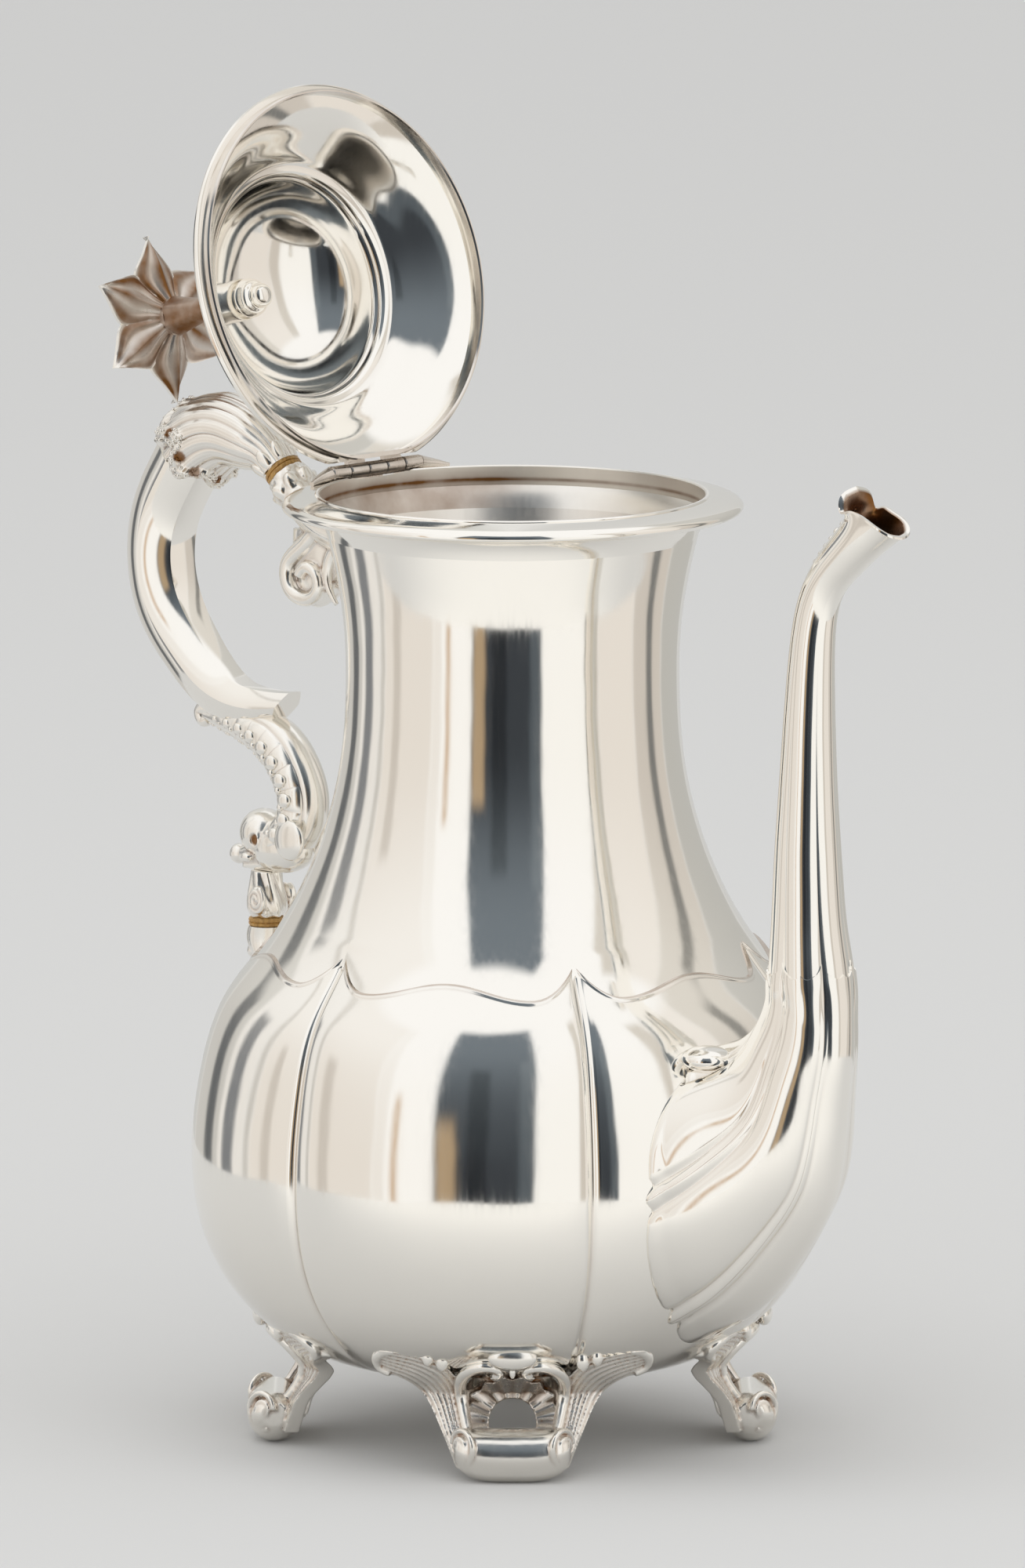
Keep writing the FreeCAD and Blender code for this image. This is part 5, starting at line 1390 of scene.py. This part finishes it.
class POT_OT_plain_parts(bpy.types.Operator):
    """Gives the solids that show as they are their silver or bone"""
    bl_idname = "coffee_pot.plain_parts"
    bl_label = "Plain parts"

    def execute(self, context):
        for name in frame["nodes"]:
            piece = bpy.data.objects.get(name)
            if piece is None:
                continue
            kind = BONE if "insulator" in name and "pins" not in name else CHASED
            piece.data.materials.clear()
            piece.data.materials.append(material_for(kind))
        return {"FINISHED"}


# Stage

# Studio round the pot, a row for each card: from and to azimuth, right of the camera positive, and the
# elevation of its top, in degrees, and its tone low and high.
CARDS = (
    (-180, -160, 52, "#c9c9c6", "#dbdbd8"),
    (-160, -112, 52, "#c9c7c3", "#e3e2de"),
    (-144, -134, 22, "#66686a", "#a3a3a1"),
    (-128, -104, 52, "#ebe8e4", "#f8f7f5"),
    (-123, -113, 24, "#808285", "#b0b0af"),
    (-104, -99, 52, "#c9c6c1", "#dfdcd7"),
    (-99, -57, 52, "#e8e2db", "#f8f6f3"),
    (-91, -84, 18, "#cdc6be", "#dcd7d1"),
    (-57, -50, 52, "#efebe6", "#faf9f7"),
    (-50, -28, 52, "#fdfcfa", "#ffffff"),
    (-47, -44, 16, "#cdb296", "#d9c6b0"),
    (-28, 20, 57, "#3c4045", "#737c84"),
    (-27, -19, 12, "#b0997b", "#b9a58a"),
    (-14, -4, 30, "#2b2e32", "#5d656b"),
    (12, 20, 34, "#565d63", "#7f888f"),
    (20, 52, 57, "#fcfbf8", "#ffffff"),
    (52, 62, 52, "#cfc8bf", "#d9d4cc"),
    (62, 92, 52, "#e9e3dc", "#f3efea"),
    (92, 125, 52, "#cec7bf", "#e0dcd5"),
    (106, 113, 40, "#7a7a78", "#9b9994"),
    (125, 160, 52, "#bdbcb8", "#cdccc8"),
    (160, 180, 52, "#cdcdcb", "#d8d8d7"),
)
CEILING = "#ffffff"
# Softness of a card's sides and of its top, and between what elevations its tone changes, in degrees.
CARD_EDGE, CARD_TOP = 1.8, 3
TONE_LOW, TONE_HIGH = -4.0, 46.0
# Even light on matt surfaces.
AMBIENT = 0.9
# Painted reflection: a brighter tone of the floor that only the silver mirrors, on the camera's side, and
# how far out it is reached, in metres.
BRIGHT_FLOOR = "#f6f5f2"
BRIGHT_FROM, BRIGHT_TO = 0.03, 0.32
# Radius of the table that the silver mirrors and of the floor beyond it, in millimetres.
TABLE_R, FLOOR_R = 420.0, 9000.0
# Camera and lamp, in metres, and the lens in millimetres.
CAMERA_AT = (3.147, -3.147, 0.849)
AIM_Z = 0.1389
LENS, SENSOR = 494.6, 36.0
LAMP_AT = (0.2, -0.3, 1.7)
LAMP_SIZE, LAMP_POWER = 1.6, 6.5


class POT_OT_stage(bpy.types.Operator):
    """Sets the pale floor, the studio light with its cards, and the camera"""
    bl_idname = "coffee_pot.stage"
    bl_label = "Stage"

    def execute(self, context):
        scene = context.scene
        scene.view_settings.view_transform = "Standard"
        material, tree, output = new_material("pale_paper")
        # Painted reflection: near the pot on the camera's side, the floor is brighter only in glossy rays.
        place = add(tree, "ShaderNodeTexCoord").outputs["Object"]
        forward = add(tree, "ShaderNodeVectorMath", {1: (0.707, -0.707, 0.0)}, {0: place},
                      operation="DOT_PRODUCT").outputs["Value"]
        near = add(tree, "ShaderNodeMapRange", {"From Min": BRIGHT_FROM, "From Max": BRIGHT_TO},
                   {"Value": forward}, interpolation_type="SMOOTHSTEP").outputs["Result"]
        mirrored = add(tree, "ShaderNodeLightPath").outputs["Is Glossy Ray"]
        near = add(tree, "ShaderNodeMath", None, {0: near, 1: mirrored}, operation="MULTIPLY").outputs[0]
        tone = add(tree, "ShaderNodeMix", {"A": scene.coffee_pot.floor_colour, "B": linear(BRIGHT_FLOOR)},
                   {"Factor": near}, data_type="RGBA").outputs["Result"]
        shader = add(tree, "ShaderNodeBsdfDiffuse", {"Roughness": 0.6}, {"Color": tone})
        tree.links.new(shader.outputs[0], output.inputs[0])
        for name, inner, outer in (("table", 0.0, TABLE_R), ("apron", TABLE_R, FLOOR_R)):
            floor = bpy.data.objects.new(name, mesh_of(name, [lathe(((inner, 0.0), (outer, 0.0)), 96)]))
            floor.data.materials.append(material)
            floor.visible_glossy = name == "table"
            context.collection.objects.link(floor)
        self.light(scene)
        lamp = bpy.data.lights.new("softbox", "AREA")
        lamp.shape, lamp.size, lamp.energy = "DISK", LAMP_SIZE, LAMP_POWER
        overhead = bpy.data.objects.new("softbox", lamp)
        overhead.location = LAMP_AT
        overhead.visible_glossy = False
        context.collection.objects.link(overhead)
        camera = bpy.data.objects.new("camera", bpy.data.cameras.new("camera"))
        camera.data.lens, camera.data.sensor_width = LENS, SENSOR
        camera.data.clip_end = 100.0
        camera.location = CAMERA_AT
        aim = -camera.location
        aim.z += AIM_Z
        camera.rotation_euler = aim.to_track_quat("-Z", "Y").to_euler()
        context.collection.objects.link(camera)
        scene.camera = camera
        return {"FINISHED"}

    def light(self, scene):
        """World: even soft light on matt surfaces, and studio cards for the silver to reflect."""
        world = bpy.data.worlds.new("studio")
        scene.world = world
        world.use_nodes = True
        tree = world.node_tree
        tree.nodes.clear()
        way = add(tree, "ShaderNodeTexCoord").outputs["Generated"]
        turned = add(tree, "ShaderNodeVectorRotate", {"Angle": math.radians(45)}, {"Vector": way},
                     rotation_type="Z_AXIS").outputs[0]
        parts = add(tree, "ShaderNodeSeparateXYZ", None, {0: turned}).outputs
        azimuth = add(tree, "ShaderNodeMath", None, {0: parts[1], 1: parts[0]},
                      operation="ARCTAN2").outputs[0]
        height = add(tree, "ShaderNodeMath", None, {0: parts[2]}, operation="ARCSINE").outputs[0]
        span = {"From Min": math.radians(TONE_LOW), "From Max": math.radians(TONE_HIGH)}
        rise = add(tree, "ShaderNodeMapRange", span, {"Value": height},
                   interpolation_type="SMOOTHSTEP").outputs["Result"]
        seen = add(tree, "ShaderNodeRGB").outputs[0]
        seen.default_value = linear(CEILING)
        for left, right, top, low, high in CARDS:
            card = add(tree, "ShaderNodeMix", {"A": linear(low), "B": linear(high)}, {"Factor": rise},
                       data_type="RGBA").outputs["Result"]
            mask = []
            for source, edge, soft, before in ((azimuth, left, CARD_EDGE, 0.0),
                                               (azimuth, right, CARD_EDGE, 1.0),
                                               (height, top, CARD_TOP, 1.0)):
                span = {"From Min": math.radians(edge - soft), "From Max": math.radians(edge + soft),
                        "To Min": before, "To Max": 1.0 - before}
                mask.append(add(tree, "ShaderNodeMapRange", span, {"Value": source},
                                interpolation_type="SMOOTHSTEP").outputs["Result"])
            sides = add(tree, "ShaderNodeMath", None, {0: mask[0], 1: mask[1]},
                        operation="MULTIPLY").outputs[0]
            share = add(tree, "ShaderNodeMath", None, {0: sides, 1: mask[2]},
                        operation="MULTIPLY").outputs[0]
            seen = add(tree, "ShaderNodeMix", None, {"Factor": share, "A": seen, "B": card},
                       data_type="RGBA").outputs["Result"]
        path = add(tree, "ShaderNodeLightPath").outputs
        for kind, tone in (("Is Diffuse Ray", (AMBIENT, AMBIENT, AMBIENT, 1.0)),
                           ("Is Camera Ray", scene.coffee_pot.floor_colour)):
            seen = add(tree, "ShaderNodeMix", {"B": tone}, {"Factor": path[kind], "A": seen},
                       data_type="RGBA").outputs["Result"]
        sky = add(tree, "ShaderNodeBackground", {"Strength": 1.0}, {"Color": seen})
        output = add(tree, "ShaderNodeOutputWorld")
        tree.links.new(sky.outputs[0], output.inputs[0])


class CoffeePotSettings(bpy.types.PropertyGroup):
    """Sizes and colours of the pot that a user would change."""
    wall: bpy.props.FloatProperty(name="Wall", description="Thickness of the raised sheet",
                                  default=1.0 * MM, unit="LENGTH")
    groove_depth: bpy.props.FloatProperty(name="Groove depth",
                                          description="Depth of the creases between the lobes",
                                          default=2.8 * MM, unit="LENGTH")
    silver_colour: bpy.props.FloatVectorProperty(name="Silver", description="Colour of the bright silver",
                                                 size=4,
                                                 subtype="COLOR", default=linear("#faf7f1"))
    tarnish_colour: bpy.props.FloatVectorProperty(name="Tarnish",
                                                  description="Colour of the tarnish in hollows", size=4,
                                                  subtype="COLOR", default=linear("#8a6038"))
    bone_colour: bpy.props.FloatVectorProperty(name="Bone", description="Colour of the heat breaks", size=4,
                                               subtype="COLOR", default=linear("#d2a75f"))
    floor_colour: bpy.props.FloatVectorProperty(name="Floor",
                                                description="Colour of the floor and backdrop", size=4,
                                                subtype="COLOR", default=linear("#d6d6d5"))


OPERATORS = (POT_OT_stage, POT_OT_body, POT_OT_mouth, POT_OT_hinge, POT_OT_spout, POT_OT_lid, POT_OT_grip,
             POT_OT_heat_breaks, POT_OT_leaf_cap, POT_OT_upper_socket, POT_OT_dolphin, POT_OT_feet,
             POT_OT_finial, POT_OT_plain_parts)


class POT_PT_panel(bpy.types.Panel):
    """Lists the pot's sizes, colours and pieces"""
    bl_idname = "POT_PT_panel"
    bl_label = "Coffee Pot"
    bl_space_type = "VIEW_3D"
    bl_region_type = "UI"
    bl_category = "Coffee Pot"

    def draw(self, context):
        for key in CoffeePotSettings.__annotations__:
            self.layout.prop(context.scene.coffee_pot, key)
        for operator in OPERATORS:
            self.layout.operator(operator.bl_idname)


CLASSES = (CoffeePotSettings,) + OPERATORS + (POT_PT_panel,)


def register():
    """Adds the classes and the scene's settings to Blender."""
    for item in CLASSES:
        bpy.utils.register_class(item)
    bpy.types.Scene.coffee_pot = bpy.props.PointerProperty(type=CoffeePotSettings)


def unregister():
    """Takes them out again."""
    del bpy.types.Scene.coffee_pot
    for item in reversed(CLASSES):
        bpy.utils.unregister_class(item)


def main():
    """Builds every piece."""
    register()
    for operator in OPERATORS:
        group, name = operator.bl_idname.split(".")
        getattr(getattr(bpy.ops, group), name)()


if __name__ == "__main__":
    main()
